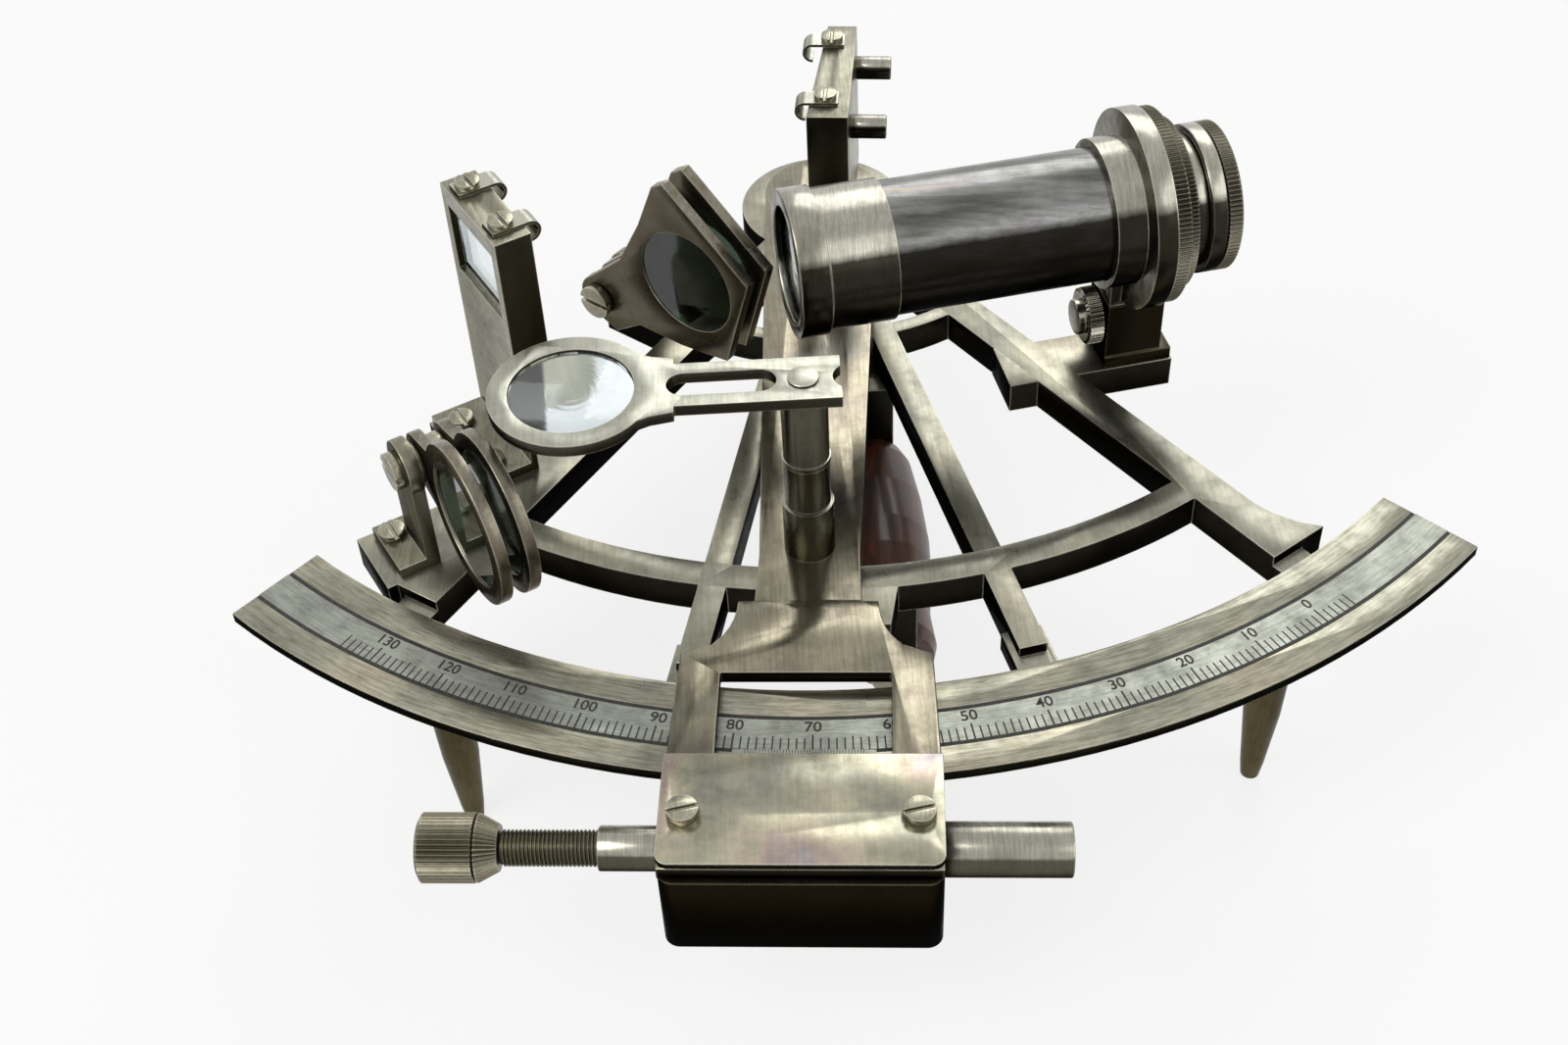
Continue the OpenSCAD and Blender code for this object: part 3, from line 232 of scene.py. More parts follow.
# The limb is turned and brushed along its arc, so its lines run round the pivot
limbBrass = agedMetal("arc-brushed antique brass", {
    **antiqueBrass, "grainRound": True, "lineMm": 0.45, "roughness": 0.3, "lineAmount": 0.75,
    "patina": [(0.3, "#88887b"), (0.5, "#a6a595"), (0.62, "#b7b19d"), (0.78, "#989181")]})
# The arm and its cover are polished before the dip, so they mirror what stands on them
armBrass = agedMetal("polished antique brass", {
    **antiqueBrass, "roughness": 0.2, "lineAmount": 0.45,
    "patina": [(0.28, "#666257"), (0.42, "#888272"), (0.52, "#9c9682"), (0.62, "#8f8778"),
               (0.74, "#787c76")]})
coverBrass = agedMetal("straw and rose tempered brass", {
    **antiqueBrass, "roughness": 0.24, "lineAmount": 0.2, "patchMm": 22,
    "patina": [(0.3, "#87867a"), (0.42, "#a4a18e"), (0.5, "#b9b29b"), (0.58, "#b3a297"),
               (0.66, "#9e9a9e"), (0.78, "#91978b")],
    "edge": "#d9dcc6", "edgeAmount": 0.9})
paleBrass = agedMetal("pale rubbed brass", {
    **antiqueBrass, "roughness": 0.3, "lineAmount": 0.35, "side": "#2a271f", "sideAmount": 0.9,
    "patina": [(0.3, "#97988c"), (0.5, "#afb0a3"), (0.7, "#a3a496")]})
legBrass = agedMetal("turned dark yellow brass", {
    **antiqueBrass, "side": "#3f3824", "sideAmount": 0.35, "roughness": 0.27, "lineMm": 0.6,
    "patina": [(0.3, "#3b3523"), (0.55, "#675e42"), (0.75, "#504832")],
    "patchStretch": (1, 1, 0.3), "grainStretch": (1, 1, 0.08)})
sheetBrass = agedMetal("satin brass sheet", {
    **antiqueBrass, "side": "#6b695c", "sideAmount": 0.8, "roughness": 0.3,
    "patina": [(0.3, "#73705f"), (0.5, "#8d8a79"), (0.7, "#7d7164")]})
horizonBrass = agedMetal("horizon bracket brass", {
    **bracketBrass, "faceAxis": (math.cos(horizonAngle), math.sin(horizonAngle), 0)})
indexBrass = agedMetal("index bracket brass", {**bracketBrass, "faceAxis": (-0.993, 0.117, 0)})
shadeBrass = agedMetal("brown satin brass sheet", {
    **antiqueBrass, "side": "#5d564a", "sideAmount": 0.8, "roughness": 0.28, "patchMm": 16,
    "patina": [(0.3, "#6b675a"), (0.5, "#8b8678"), (0.7, "#6d5f50")]})
ringBrass = agedMetal("turned antique brass rings", {
    **turned, "side": "#1b1710", "sideAmount": 0.95, "roughness": 0.22, "lineMm": 0.5,
    "patina": [(0.3, "#89877b"), (0.5, "#a9a79c"), (0.7, "#bbb8ab")],
    "grainStretch": (1, 0.08, 0.08)})
sleeveBrass = agedMetal("turned sleeve brass", {
    **turned, "side": "#3f3c30", "sideAmount": 0.85, "roughness": 0.24, "lineMm": 0.5,
    "patina": [(0.3, "#828076"), (0.5, "#a2a094"), (0.7, "#b3b0a2")],
    "grainStretch": (1, 0.08, 0.08)})
# The tube is lacquered over a dark bronze dip, with violet and straw tints in lengthwise light and dark streaks;
# its underside is painted shade
barrelBrass = agedMetal("smoked barrel brass", {
    **turned, "side": "#17150f", "sideAmount": 0.95, "roughness": 0.23, "edgeAmount": 0.2,
    "patina": [(0.3, "#50504a"), (0.42, "#6f6f6c"), (0.5, "#898a87"), (0.58, "#7f7c80"),
               (0.68, "#837b69"), (0.8, "#605c52")],
    "patchMm": 7, "patchStretch": (0.12, 1, 1), "lineMm": 1.1, "grainStretch": (0.05, 1, 1)})
darkBronze = agedMetal("dark dipped bronze", {
    **antiqueBrass, "side": "#18140d", "sideAmount": 0.93, "roughness": 0.28,
    "patina": [(0.3, "#2c281d"), (0.55, "#4b4636"), (0.75, "#3b362a")],
    "edge": "#8c866c", "edgeAmount": 0.6})
# Knurled and threaded bronze is dark, with painted shade over more of its sloping faces, and its crests are rubbed
knurlBronze = agedMetal("knurled grey-brown bronze", {
    **turned, "side": "#24211a", "sideAmount": 0.7, "sideFrom": 0.2, "sideTo": 0.75,
    "patina": [(0.3, "#36332b"), (0.55, "#4d4a41"), (0.75, "#605c51")],
    "roughness": 0.34, "edge": "#aca793", "edgeAmount": 0.6})
knobBronze = agedMetal("knurled knob bronze", {
    **turned, "side": "#37332a", "sideAmount": 0.55, "sideFrom": 0.1, "sideTo": 0.6,
    "patina": [(0.3, "#565245"), (0.55, "#6f6a5a"), (0.75, "#7f7a67")],
    "roughness": 0.32, "edge": "#b8b39f", "edgeAmount": 0.6})
threadBronze = agedMetal("oiled thread bronze", {
    **turned, "side": "#181510", "sideAmount": 0.7, "sideFrom": 0.2, "sideTo": 0.75,
    "patina": [(0.3, "#26231c"), (0.55, "#38342b"), (0.75, "#474237")],
    "roughness": 0.32, "edge": "#8f8970", "edgeAmount": 0.8})
nickelSteel = agedMetal("nickelled screw steel", {
    **antiqueBrass, "side": "#57544a", "sideAmount": 0.3, "roughness": 0.22,
    "patina": [(0.3, "#8c8979"), (0.6, "#b5b19e"), (0.8, "#9b9782")], "patchMm": 4, "lineMm": 0.3})
springSteel = agedMetal("drawn spring steel", {
    **antiqueBrass, "sideAmount": 0, "roughness": 0.3,
    "patina": [(0.3, "#76777a"), (0.7, "#9a9b9c")]})
# The strip is brushed along the arc too, with finer lines and no bright edge
silverStrip = agedMetal("brushed silver strip", {
    **antiqueBrass, "grainRound": True, "lineMm": 0.35, "lineAmount": 0.5, "lineDark": "#96968c",
    "patina": [(0.3, "#8f938a"), (0.5, "#a4a79d"), (0.7, "#b2b5aa")],
    "spot": "#7f827a", "spotAmount": 0.4, "sideAmount": 0, "roughness": 0.4, "edgeAmount": 0})

waxLook = {"gritMm": 0.8, "colours": [(0.35, "#1d1c19"), (0.7, "#3b3a33")], "roughness": 0.6,
           "metallic": 0.2}


def engravingWax(look):
    # Black wax rubbed into engraved lines: matt, a little broken where it has dried out
    material = newMaterial("black engraving wax")
    place = addNode(material, "ShaderNodeTexCoord")
    grit = addNode(material, "ShaderNodeTexNoise", None,
                   {"Vector": place.outputs["Object"], "Scale": 1 / mm(look["gritMm"]),
                    "Detail": 3})
    colour = addNode(material, "ShaderNodeValToRGB", None, {0: grit.outputs[0]}, look["colours"])
    shader = addNode(material, "ShaderNodeBsdfPrincipled", None,
                     {"Base Color": colour.outputs[0], "Roughness": look["roughness"],
                      "Metallic": look["metallic"]})
    addNode(material, "ShaderNodeOutputMaterial", None, {0: shader.outputs[0]})
    return material


glassLook = {"dustMm": 5, "dustRange": (0.35, 0.8), "clean": 0.01, "dusty": 0.12, "ior": 1.52}


def opticalGlass(name, tint, tone, look):
    # Ground and polished glass; faint dust keeps its face from vanishing
    material = newMaterial(name)
    place = addNode(material, "ShaderNodeTexCoord")
    dust = addNode(material, "ShaderNodeTexNoise", None,
                   {"Vector": place.outputs["Object"], "Scale": 1 / mm(look["dustMm"]),
                    "Detail": 6, "Roughness": 0.75})
    dustFrom, dustTo = look["dustRange"]
    gloss = addNode(material, "ShaderNodeMapRange", None,
                    {0: dust.outputs[0], 1: dustFrom, 2: dustTo,
                     3: look["clean"], 4: look["dusty"]})
    colour = addNode(material, "ShaderNodeValToRGB", None, {0: dust.outputs[0]},
                     [(0.3, tint), (0.75, tone)])
    shader = addNode(material, "ShaderNodeBsdfPrincipled", None,
                     {"Base Color": colour.outputs[0], "Roughness": gloss.outputs[0],
                      "IOR": look["ior"], "Transmission Weight": 1.0})
    addNode(material, "ShaderNodeOutputMaterial", None, {0: shader.outputs[0]})
    return material


mirrorLook = {"speckMm": 2.5, "colours": [(0.22, "#6f716a"), (0.36, "#c3cacb"), (0.8, "#d5dbdd")],
              "dullRange": (0.25, 0.6), "dull": 0.25, "bright": 0.03}


def silveredGlass(look):
    # Back-silvered plate glass with a few dull specks where the silver has aged
    material = newMaterial("aged silvered mirror")
    place = addNode(material, "ShaderNodeTexCoord")
    specks = addNode(material, "ShaderNodeTexNoise", None,
                     {"Vector": place.outputs["Object"], "Scale": 1 / mm(look["speckMm"]),
                      "Detail": 6, "Roughness": 0.8})
    colour = addNode(material, "ShaderNodeValToRGB", None, {0: specks.outputs[0]}, look["colours"])
    dullFrom, dullTo = look["dullRange"]
    gloss = addNode(material, "ShaderNodeMapRange", None,
                    {0: specks.outputs[0], 1: dullFrom, 2: dullTo,
                     3: look["dull"], 4: look["bright"]})
    shader = addNode(material, "ShaderNodeBsdfPrincipled", None,
                     {"Base Color": colour.outputs[0], "Metallic": 1.0,
                      "Roughness": gloss.outputs[0]})
    addNode(material, "ShaderNodeOutputMaterial", None, {0: shader.outputs[0]})
    return material


woodLook = {"grainMm": 1.6, "grainRun": 0.08, "swirl": 0.6,
            "colours": [(0.3, "#210e08"), (0.5, "#472211"), (0.68, "#67381f")],
            "pores": 0.2, "poreMm": 0.1, "roughness": 0.45, "varnish": 0.3,
            "varnishRoughness": 0.15}


def varnishedWood(look):
    # Turned hardwood under varnish: long grain along the grip, a clear coat over it
    material = newMaterial("varnished rosewood")
    place = addNode(material, "ShaderNodeTexCoord")
    along = addNode(material, "ShaderNodeMapping", None,
                    {"Vector": place.outputs["Object"], "Scale": (1, look["grainRun"], 1)})
    grain = addNode(material, "ShaderNodeTexNoise", None,
                    {"Vector": along.outputs[0], "Scale": 1 / mm(look["grainMm"]),
                     "Detail": 6, "Distortion": look["swirl"]})
    colour = addNode(material, "ShaderNodeValToRGB", None, {0: grain.outputs[0]}, look["colours"])
    bump = addNode(material, "ShaderNodeBump", None,
                   {"Strength": look["pores"], "Distance": mm(look["poreMm"]),
                    "Height": grain.outputs[0]})
    shader = addNode(material, "ShaderNodeBsdfPrincipled", None,
                     {"Base Color": colour.outputs[0], "Roughness": look["roughness"],
                      "Coat Weight": look["varnish"], "Coat Roughness": look["varnishRoughness"],
                      "Normal": bump.outputs[0]})
    addNode(material, "ShaderNodeOutputMaterial", None, {0: shader.outputs[0]})
    return material


blackWax = engravingWax(waxLook)
clearGlass = opticalGlass("clear optical glass", "#eef6f8", "#dfe9ec", glassLook)
shadeGlass = opticalGlass("smoked green shade glass", "#4c5a4c", "#39443c", glassLook)
mirrorGlass = silveredGlass(mirrorLook)
rosewood = varnishedWood(woodLook)
print("materials made")

nodeFinish = {
    "frame_casting": castBrass, "limb": limbBrass, "silver_scale": silverStrip,
    "limb_screws": nickelSteel, "leg_left": legBrass, "leg_right": legBrass, "leg_rear": legBrass,
    "handle_grip": rosewood, "handle_brackets": castBrass, "handle_rod": nickelSteel,
    "pivot_bush": legBrass, "pivot_arbor": legBrass, "pivot_nut": legBrass,
    "index_arm": armBrass, "vernier": silverStrip, "cover_plate": coverBrass,
    "arm_screws": nickelSteel, "tangent_box": darkBronze, "tangent_sleeve": sleeveBrass,
    "spring_barrel": sleeveBrass, "tangent_spring": springSteel, "clamp_block": legBrass,
    "clamp_screw": knurlBronze, "tangent_screw": knurlBronze, "tangent_knob": knurlBronze,
    "magnifier_post": sleeveBrass, "magnifier_plate": paleBrass, "magnifier_lens": clearGlass,
    "magnifier_screw": paleBrass, "telescope_socket": darkBronze, "rise_screw": ringBrass,
    "telescope_ring": ringBrass, "telescope_tube": barrelBrass, "objective_cell": ringBrass,
    "objective_lens": clearGlass, "knurled_ring": knurlBronze, "eyepiece_tube": ringBrass,
    "eyepiece_ring": knurlBronze, "eye_lens": clearGlass, "horizon_bracket": horizonBrass,
    "horizon_clear_glass": clearGlass, "horizon_silvered_glass": mirrorGlass,
    "horizon_clips": paleBrass, "index_bracket": indexBrass, "index_mirror": mirrorGlass,
    "index_clips": paleBrass, "adjusting_pegs": ringBrass, "index_shade_bracket": sheetBrass,
    "index_shade_pin": nickelSteel, "index_shade_1": shadeBrass, "index_shade_2": shadeBrass,
    "index_shade_glass_1": shadeGlass, "index_shade_glass_2": shadeGlass,
    "horizon_shade_bracket": sheetBrass, "horizon_shade_pin": nickelSteel,
    "horizon_shade_1": shadeBrass, "horizon_shade_2": shadeBrass,
    "horizon_shade_glass_1": shadeGlass, "horizon_shade_glass_2": shadeGlass,
    "bracket_screws": nickelSteel}
nodeBody = {name: body for body, names in frame["record"]["behaviour"]["bodies"].items()
            for name in names}
for name, finish in nodeFinish.items():
    mesh = nodes[name].data
    mesh.materials.clear()
    mesh.materials.append(finish)


def deselectAll():
    if bpy.context.object and bpy.context.object.mode != "OBJECT":
        bpy.ops.object.mode_set(mode="OBJECT")
    bpy.ops.object.select_all(action="DESELECT")


def selectOnly(piece):
    deselectAll()
    piece.select_set(True)
    bpy.context.view_layer.objects.active = piece


def applyModifiers(piece):
    selectOnly(piece)
    for modifier in list(piece.modifiers):
        bpy.ops.object.modifier_apply(modifier=modifier.name)


def finishPiece(piece, name, material, node, smoothAngle=32, hides=True):
    # The piece takes the place of its solid and rides on the same body
    selectOnly(piece)
    bpy.ops.object.transform_apply(location=True, rotation=True, scale=True)
    piece.name = name
    piece.data.materials.clear()
    piece.data.materials.append(material)
    bpy.ops.object.shade_smooth_by_angle(angle=math.radians(smoothAngle))
    if hides:
        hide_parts(node)
    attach(piece, nodeBody[node])
    pieces.append(piece)


filedEdge = {"segments": 2, "angle": 35, "miter": "MITER_ARC"}
turnedEdge = {"segments": 3, "angle": 40, "miter": "MITER_SHARP"}


def breakEdges(piece, widthMm, look):
    bevel = piece.modifiers.new("edges", "BEVEL")
    bevel.width = mm(widthMm)
    bevel.segments = look["segments"]
    bevel.limit_method = "ANGLE"
    bevel.angle_limit = math.radians(look["angle"])
    bevel.miter_outer = look["miter"]
    applyModifiers(piece)


wholeTriangles = ["magnifier_post", "tangent_box"]  # joined faces would bridge holes in these
mergeMm = 0.004  # the solids' loose triangles meet closer than this
flatDegrees = 0.5  # triangles that lie this flat become one face


def softEdges(node, widthMm):
    # A copy of the solid with its edges broken, as filed and polished brass has them
    deselectAll()
    piece = bpy.data.objects.new(node + "_dressed", nodes[node].data.copy())
    bpy.context.scene.collection.objects.link(piece)
    selectOnly(piece)
    bpy.ops.object.mode_set(mode="EDIT")
    bpy.ops.mesh.select_all(action="SELECT")
    bpy.ops.mesh.remove_doubles(threshold=mm(mergeMm))
    if node not in wholeTriangles:
        bpy.ops.mesh.dissolve_limited(angle_limit=math.radians(flatDegrees))
    bpy.ops.object.mode_set(mode="OBJECT")
    breakEdges(piece, widthMm, filedEdge)
    finishPiece(piece, node + "_dressed", nodeFinish[node], node)


# Width of the broken edges in millimetres
edgeWidths = {
    "frame_casting": 0.35, "limb": 0.25, "index_arm": 0.3, "cover_plate": 0.3, "tangent_box": 0.35,
    "magnifier_plate": 0.3, "horizon_bracket": 0.25, "index_bracket": 0.25, "telescope_socket": 0.5,
    "telescope_ring": 0.4, "objective_cell": 0.35, "index_shade_1": 0.25, "index_shade_2": 0.25,
    "horizon_shade_1": 0.3, "horizon_shade_2": 0.3, "horizon_shade_bracket": 0.3,
    "index_shade_bracket": 0.3, "arm_screws": 0.18, "bracket_screws": 0.18,
    "index_shade_pin": 0.25, "horizon_shade_pin": 0.25, "magnifier_post": 0.3,
    "magnifier_screw": 0.15, "adjusting_pegs": 0.35, "spring_barrel": 0.4, "tangent_sleeve": 0.3,
    "handle_brackets": 0.4, "handle_rod": 0.4, "pivot_nut": 0.4, "limb_screws": 0.2}
for node, widthMm in edgeWidths.items():
    softEdges(node, widthMm)
print("edges broken on", len(edgeWidths), "solids")


def lineUp(position, direction):
    # Turns local +Z to the direction, at the position
    turn = Vector(direction).to_track_quat("Z", "Y").to_matrix().to_4x4()
    return Matrix.Translation(Vector(position)) @ turn


def stepAlong(distanceMm):
    return Matrix.Translation((0, 0, mm(distanceMm)))


def placeAt(piece, matrix):
    piece.matrix_world = matrix @ piece.matrix_world


def joinPieces(parts):
    deselectAll()
    for part in parts:
        part.select_set(True)
    bpy.context.view_layer.objects.active = parts[0]
    bpy.ops.object.join()
    return bpy.context.object


roundSides = 96  # sides of a turned piece
endLimit = 0.9  # a face is an end when its normal lies this close to the axis
knurlSmooth = 25  # degrees, so that teeth and threads stay crisp


def addCylinder(radiusMm, heightMm, fromMm, sides):
    # Stands on the axis and is left in edit mode
    deselectAll()
    bpy.ops.mesh.primitive_cylinder_add(vertices=sides, radius=mm(radiusMm), depth=mm(heightMm),
                                        location=(0, 0, mm(fromMm + heightMm / 2)))
    piece = bpy.context.object
    bpy.ops.object.transform_apply(location=True)
    bpy.ops.object.mode_set(mode="EDIT")
    return piece


def insetEnds(piece, widthMm):
    bpy.ops.mesh.select_mode(type="FACE")
    shape = bmesh.from_edit_mesh(piece.data)
    for face in shape.faces:
        face.select_set(abs(face.normal.z) > endLimit)
    bmesh.update_edit_mesh(piece.data)
    bpy.ops.mesh.inset(thickness=mm(widthMm))


def knurledDisc(radiusMm, heightMm, teeth, toothMm, chamferMm):
    # A disc with straight knurling: every second edge of a fine prism is drawn in
    piece = addCylinder(radiusMm, heightMm, 0, teeth * 2)
    insetEnds(piece, chamferMm + toothMm)
    shape = bmesh.from_edit_mesh(piece.data)
    for face in shape.faces:
        face.select_set(False)
    for vertex in shape.verts:
        outside = vertex.co.xy.length > mm(radiusMm - toothMm / 2)
        step = round(math.degrees(math.atan2(vertex.co.y, vertex.co.x)) / (180 / teeth))
        vertex.select_set(outside and step % 2 == 0)
    bmesh.update_edit_mesh(piece.data)
    bpy.ops.mesh.select_mode(type="VERT")
    draw = 1 - toothMm / radiusMm
    bpy.ops.transform.resize(value=(draw, draw, 1), center_override=(0, 0, 0))
    shape = bmesh.from_edit_mesh(piece.data)
    for vertex in shape.verts:
        if vertex.co.xy.length > mm(radiusMm - toothMm * 1.5):  # the rims are chamfered
            vertex.co.z += math.copysign(mm(chamferMm), mm(heightMm) / 2 - vertex.co.z)
    bmesh.update_edit_mesh(piece.data)
    bpy.ops.object.mode_set(mode="OBJECT")
    return piece


def plainDisc(radiusMm, heightMm, fromMm, bevelMm=0.3, boreMm=0):
    piece = addCylinder(radiusMm, heightMm, fromMm, roundSides)
    if boreMm:
        insetEnds(piece, radiusMm - boreMm)
        bpy.ops.mesh.bridge_edge_loops()
    bpy.ops.object.mode_set(mode="OBJECT")
    breakEdges(piece, bevelMm, turnedEdge)
    return piece


def bored(piece, boreMm, cutterMm=24):
    # The bore is cut right through with a cylinder, as on the lathe
    deselectAll()
    bpy.ops.mesh.primitive_cylinder_add(vertices=roundSides, radius=mm(boreMm), depth=mm(cutterMm))
    cutter = bpy.context.object
    cut = piece.modifiers.new("bore", "BOOLEAN")
    cut.operation = "DIFFERENCE"
    cut.solver = "EXACT"
    cut.object = cutter
    applyModifiers(piece)
    bpy.data.objects.remove(cutter)
    return piece


def emptyPiece():
    # Left in edit mode with no points, for a profile to be drawn in
    deselectAll()
    bpy.ops.mesh.primitive_plane_add(size=1)
    piece = bpy.context.object
    bpy.ops.object.mode_set(mode="EDIT")
    shape = bmesh.from_edit_mesh(piece.data)
    for vertex in list(shape.verts):
        shape.verts.remove(vertex)
    return piece, shape


# Sizes below are in millimetres along each piece's own axis
screwJoint = joints["tangent_screw_turn"]
screwLine = lineUp(screwJoint["pos_m"], screwJoint["axis"])
knobLook = {"start": -70.5, "radius": 6.5, "length": 11, "teeth": 40, "tooth": 0.5, "chamfer": 0.6,
            "taper": 4, "endRadius": 4.4, "inset": 0.05, "lap": 0.1,
            "neck": 3.6, "neckLength": 1.4, "neckSink": 1.5, "neckBevel": 0.2}


def tangentKnob(look):
    knob = knurledDisc(look["radius"], look["length"], look["teeth"], look["tooth"],
                       look["chamfer"])
    taper = knurledDisc(look["radius"] - look["inset"], look["taper"], look["teeth"], look["tooth"],
                        look["inset"])
    bpy.ops.object.mode_set(mode="EDIT")
    shape = bmesh.from_edit_mesh(taper.data)
    for vertex in shape.verts:
        vertex.select_set(vertex.co.z > mm(look["taper"] / 2))
    bmesh.update_edit_mesh(taper.data)
    shrink = look["endRadius"] / look["radius"]
    bpy.ops.transform.resize(value=(shrink, shrink, 1), center_override=(0, 0, 0))
    bpy.ops.object.mode_set(mode="OBJECT")
    placeAt(taper, stepAlong(look["length"] - look["lap"]))
    neck = plainDisc(look["neck"], look["neckLength"],
                     look["length"] + look["taper"] - look["neckSink"], look["neckBevel"])
    piece = joinPieces([knob, taper, neck])
    placeAt(piece, screwLine @ stepAlong(look["start"]))
    finishPiece(piece, "tangent_knob_knurled", knobBronze, "tangent_knob", knurlSmooth)


# A flank point is root (0) or crest (1), and its share of the pitch
threadLook = {"start": -55.4, "radius": 3.4, "depth": 0.4, "pitch": 0.75, "turns": 42, "sides": 36,
              "flanks": [(0, 0), (0, 0.2), (1, 0.45), (1, 0.75), (0, 1)],
              "coreDepth": 0.36, "coreExtra": 1.2, "coreBevel": 0.2, "weld": 0.01}


def tangentThread(look):
    # One pitch of the thread's side, turned and stepped along by a Screw modifier
    piece, shape = emptyPiece()
    radii = [mm(look["radius"] - look["depth"]), mm(look["radius"])]
    pitch = mm(look["pitch"])
    chain = [shape.verts.new((radii[crest], 0, pitch * share)) for crest, share in look["flanks"]]
    for low, high in zip(chain, chain[1:]):
        shape.edges.new((low, high))
    bmesh.update_edit_mesh(piece.data)
    bpy.ops.object.mode_set(mode="OBJECT")
    screw = piece.modifiers.new("thread", "SCREW")
    screw.angle = math.radians(360)
    screw.screw_offset = pitch
    screw.iterations = look["turns"]
    screw.steps = look["sides"]
    screw.render_steps = look["sides"]
    screw.use_merge_vertices = True
    applyModifiers(piece)
    bpy.ops.object.mode_set(mode="EDIT")
    bpy.ops.mesh.select_all(action="SELECT")
    bpy.ops.mesh.remove_doubles(threshold=mm(look["weld"]))
    bpy.ops.mesh.normals_make_consistent(inside=False)
    bpy.ops.object.mode_set(mode="OBJECT")
    core = plainDisc(look["radius"] - look["coreDepth"],
                     look["turns"] * look["pitch"] + look["coreExtra"], 0, look["coreBevel"])
    piece = joinPieces([piece, core])
    placeAt(piece, screwLine @ stepAlong(look["start"]))
    finishPiece(piece, "tangent_screw_threaded", threadBronze, "tangent_screw", knurlSmooth)


scopeLook = {"start": (-10.4, -78, 40)}  # the front of the telescope, from the pivot
scopeStart = pivot + Vector([mm(value) for value in scopeLook["start"]])
scopeLine = lineUp(scopeStart, joints["eyepiece_focus"]["axis"])
ringLook = {"start": 78, "split": 81.5, "neck": 84, "end": 87.3, "radius": 21, "step": 18.5,
            "neckRadius": 14.5, "bore": 12.45, "teeth": 130, "tooth": 0.45, "chamfer": 0.35,
            "stepChamfer": 0.3, "neckBevel": 0.3}


def knurledRings(look):
    wide = knurledDisc(look["radius"], look["split"] - look["start"], look["teeth"], look["tooth"],
                       look["chamfer"])
    wide = bored(wide, look["bore"])
    narrow = knurledDisc(look["step"], look["neck"] - look["split"], look["teeth"], look["tooth"],
                         look["stepChamfer"])
    narrow = bored(narrow, look["bore"])
    placeAt(narrow, stepAlong(look["split"] - look["start"]))
    piece = joinPieces([wide, narrow])
    placeAt(piece, scopeLine @ stepAlong(look["start"]))
    finishPiece(piece, "knurled_ring_cut", knurlBronze, "knurled_ring", knurlSmooth)
    neck = plainDisc(look["neckRadius"], look["end"] - look["neck"], look["neck"] - look["start"],
                     look["neckBevel"], look["bore"])
    placeAt(neck, scopeLine @ stepAlong(look["start"]))
    finishPiece(neck, "knurled_ring_neck", ringBrass, "knurled_ring")


eyeLook = {"start": 87.5, "split": 91, "end": 94.5, "radius": 16, "teeth": 100, "tooth": 0.4,
           "chamfer": 0.4, "bore": 11, "hole": 6}


def eyepieceRing(look):
    plain = plainDisc(look["radius"], look["split"] - look["start"], 0, look["chamfer"],
                      look["hole"])
    knurl = knurledDisc(look["radius"], look["end"] - look["split"], look["teeth"], look["tooth"],
                        look["chamfer"])
    knurl = bored(knurl, look["bore"])
    placeAt(knurl, scopeLine @ stepAlong(look["split"]))
    finishPiece(knurl, "eyepiece_ring_cut", knurlBronze, "eyepiece_ring", knurlSmooth)
    placeAt(plain, scopeLine @ stepAlong(look["start"]))
    finishPiece(plain, "eyepiece_ring_plain", ringBrass, "eyepiece_ring")


riseLook = {"start": 0.3, "radius": 6.5, "length": 4, "teeth": 40, "tooth": 0.4, "chamfer": 0.5,
            "boss": 4, "bossEnd": 5.5, "shank": 1.5, "shankStart": -2.7, "shankLength": 3.2,
            "shankBevel": 0.1}


def riseScrew(look):
    joint = joints["rise_screw_turn"]
    knurl = knurledDisc(look["radius"], look["length"], look["teeth"], look["tooth"],
                        look["chamfer"])
    boss = plainDisc(look["boss"], look["bossEnd"], 0)
    shank = plainDisc(look["shank"], look["shankLength"], look["shankStart"], look["shankBevel"])
    piece = joinPieces([knurl, boss, shank])
    placeAt(piece, lineUp(joint["pos_m"], joint["axis"]) @ stepAlong(look["start"]))
    finishPiece(piece, "rise_screw_knurled", ringBrass, "rise_screw", knurlSmooth)


clampLook = {"radius": 5, "length": 7, "teeth": 36, "tooth": 0.4, "chamfer": 0.6, "shank": 2,
             "shankEnd": 13.4, "shankBevel": 0.2}


def clampScrew(look):
    low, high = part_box("clamp_screw")
    knurl = knurledDisc(look["radius"], look["length"], look["teeth"], look["tooth"],
                        look["chamfer"])
    shank = plainDisc(look["shank"], look["shankEnd"], 0, look["shankBevel"])
    piece = joinPieces([knurl, shank])
    placeAt(piece, Matrix.Translation(((low[0] + high[0]) / 2, (low[1] + high[1]) / 2, low[2])))
    finishPiece(piece, "clamp_screw_knurled", knurlBronze, "clamp_screw", knurlSmooth)


tangentKnob(knobLook)
tangentThread(threadLook)
knurledRings(ringLook)
eyepieceRing(eyeLook)
riseScrew(riseLook)
clampScrew(clampLook)
print("knurled and threaded pieces made")

# Radii from the pivot and sizes in millimetres, angles in degrees from the middle line
scaleLook = {"zeroAngle": 31.5, "degreesPerUnit": -0.5, "first": -5, "last": 135, "tickIn": 173.0,
             "middleIn": 172.6, "longIn": 172.2, "tickOut": 176.0, "tickWidth": 0.3,
             "longWiden": 1.2, "rise": 0.02,
             "numberLast": 130, "numberStep": 10, "numberRadius": 170.3, "numberSize": 3.4,
             "numberRise": 0.015, "numberDepth": 0.012, "numberBold": 0.05,
             "grooves": [(167.7, 0.85), (176.0, 0.85)], "grooveSteps": 120, "half": 43.8}


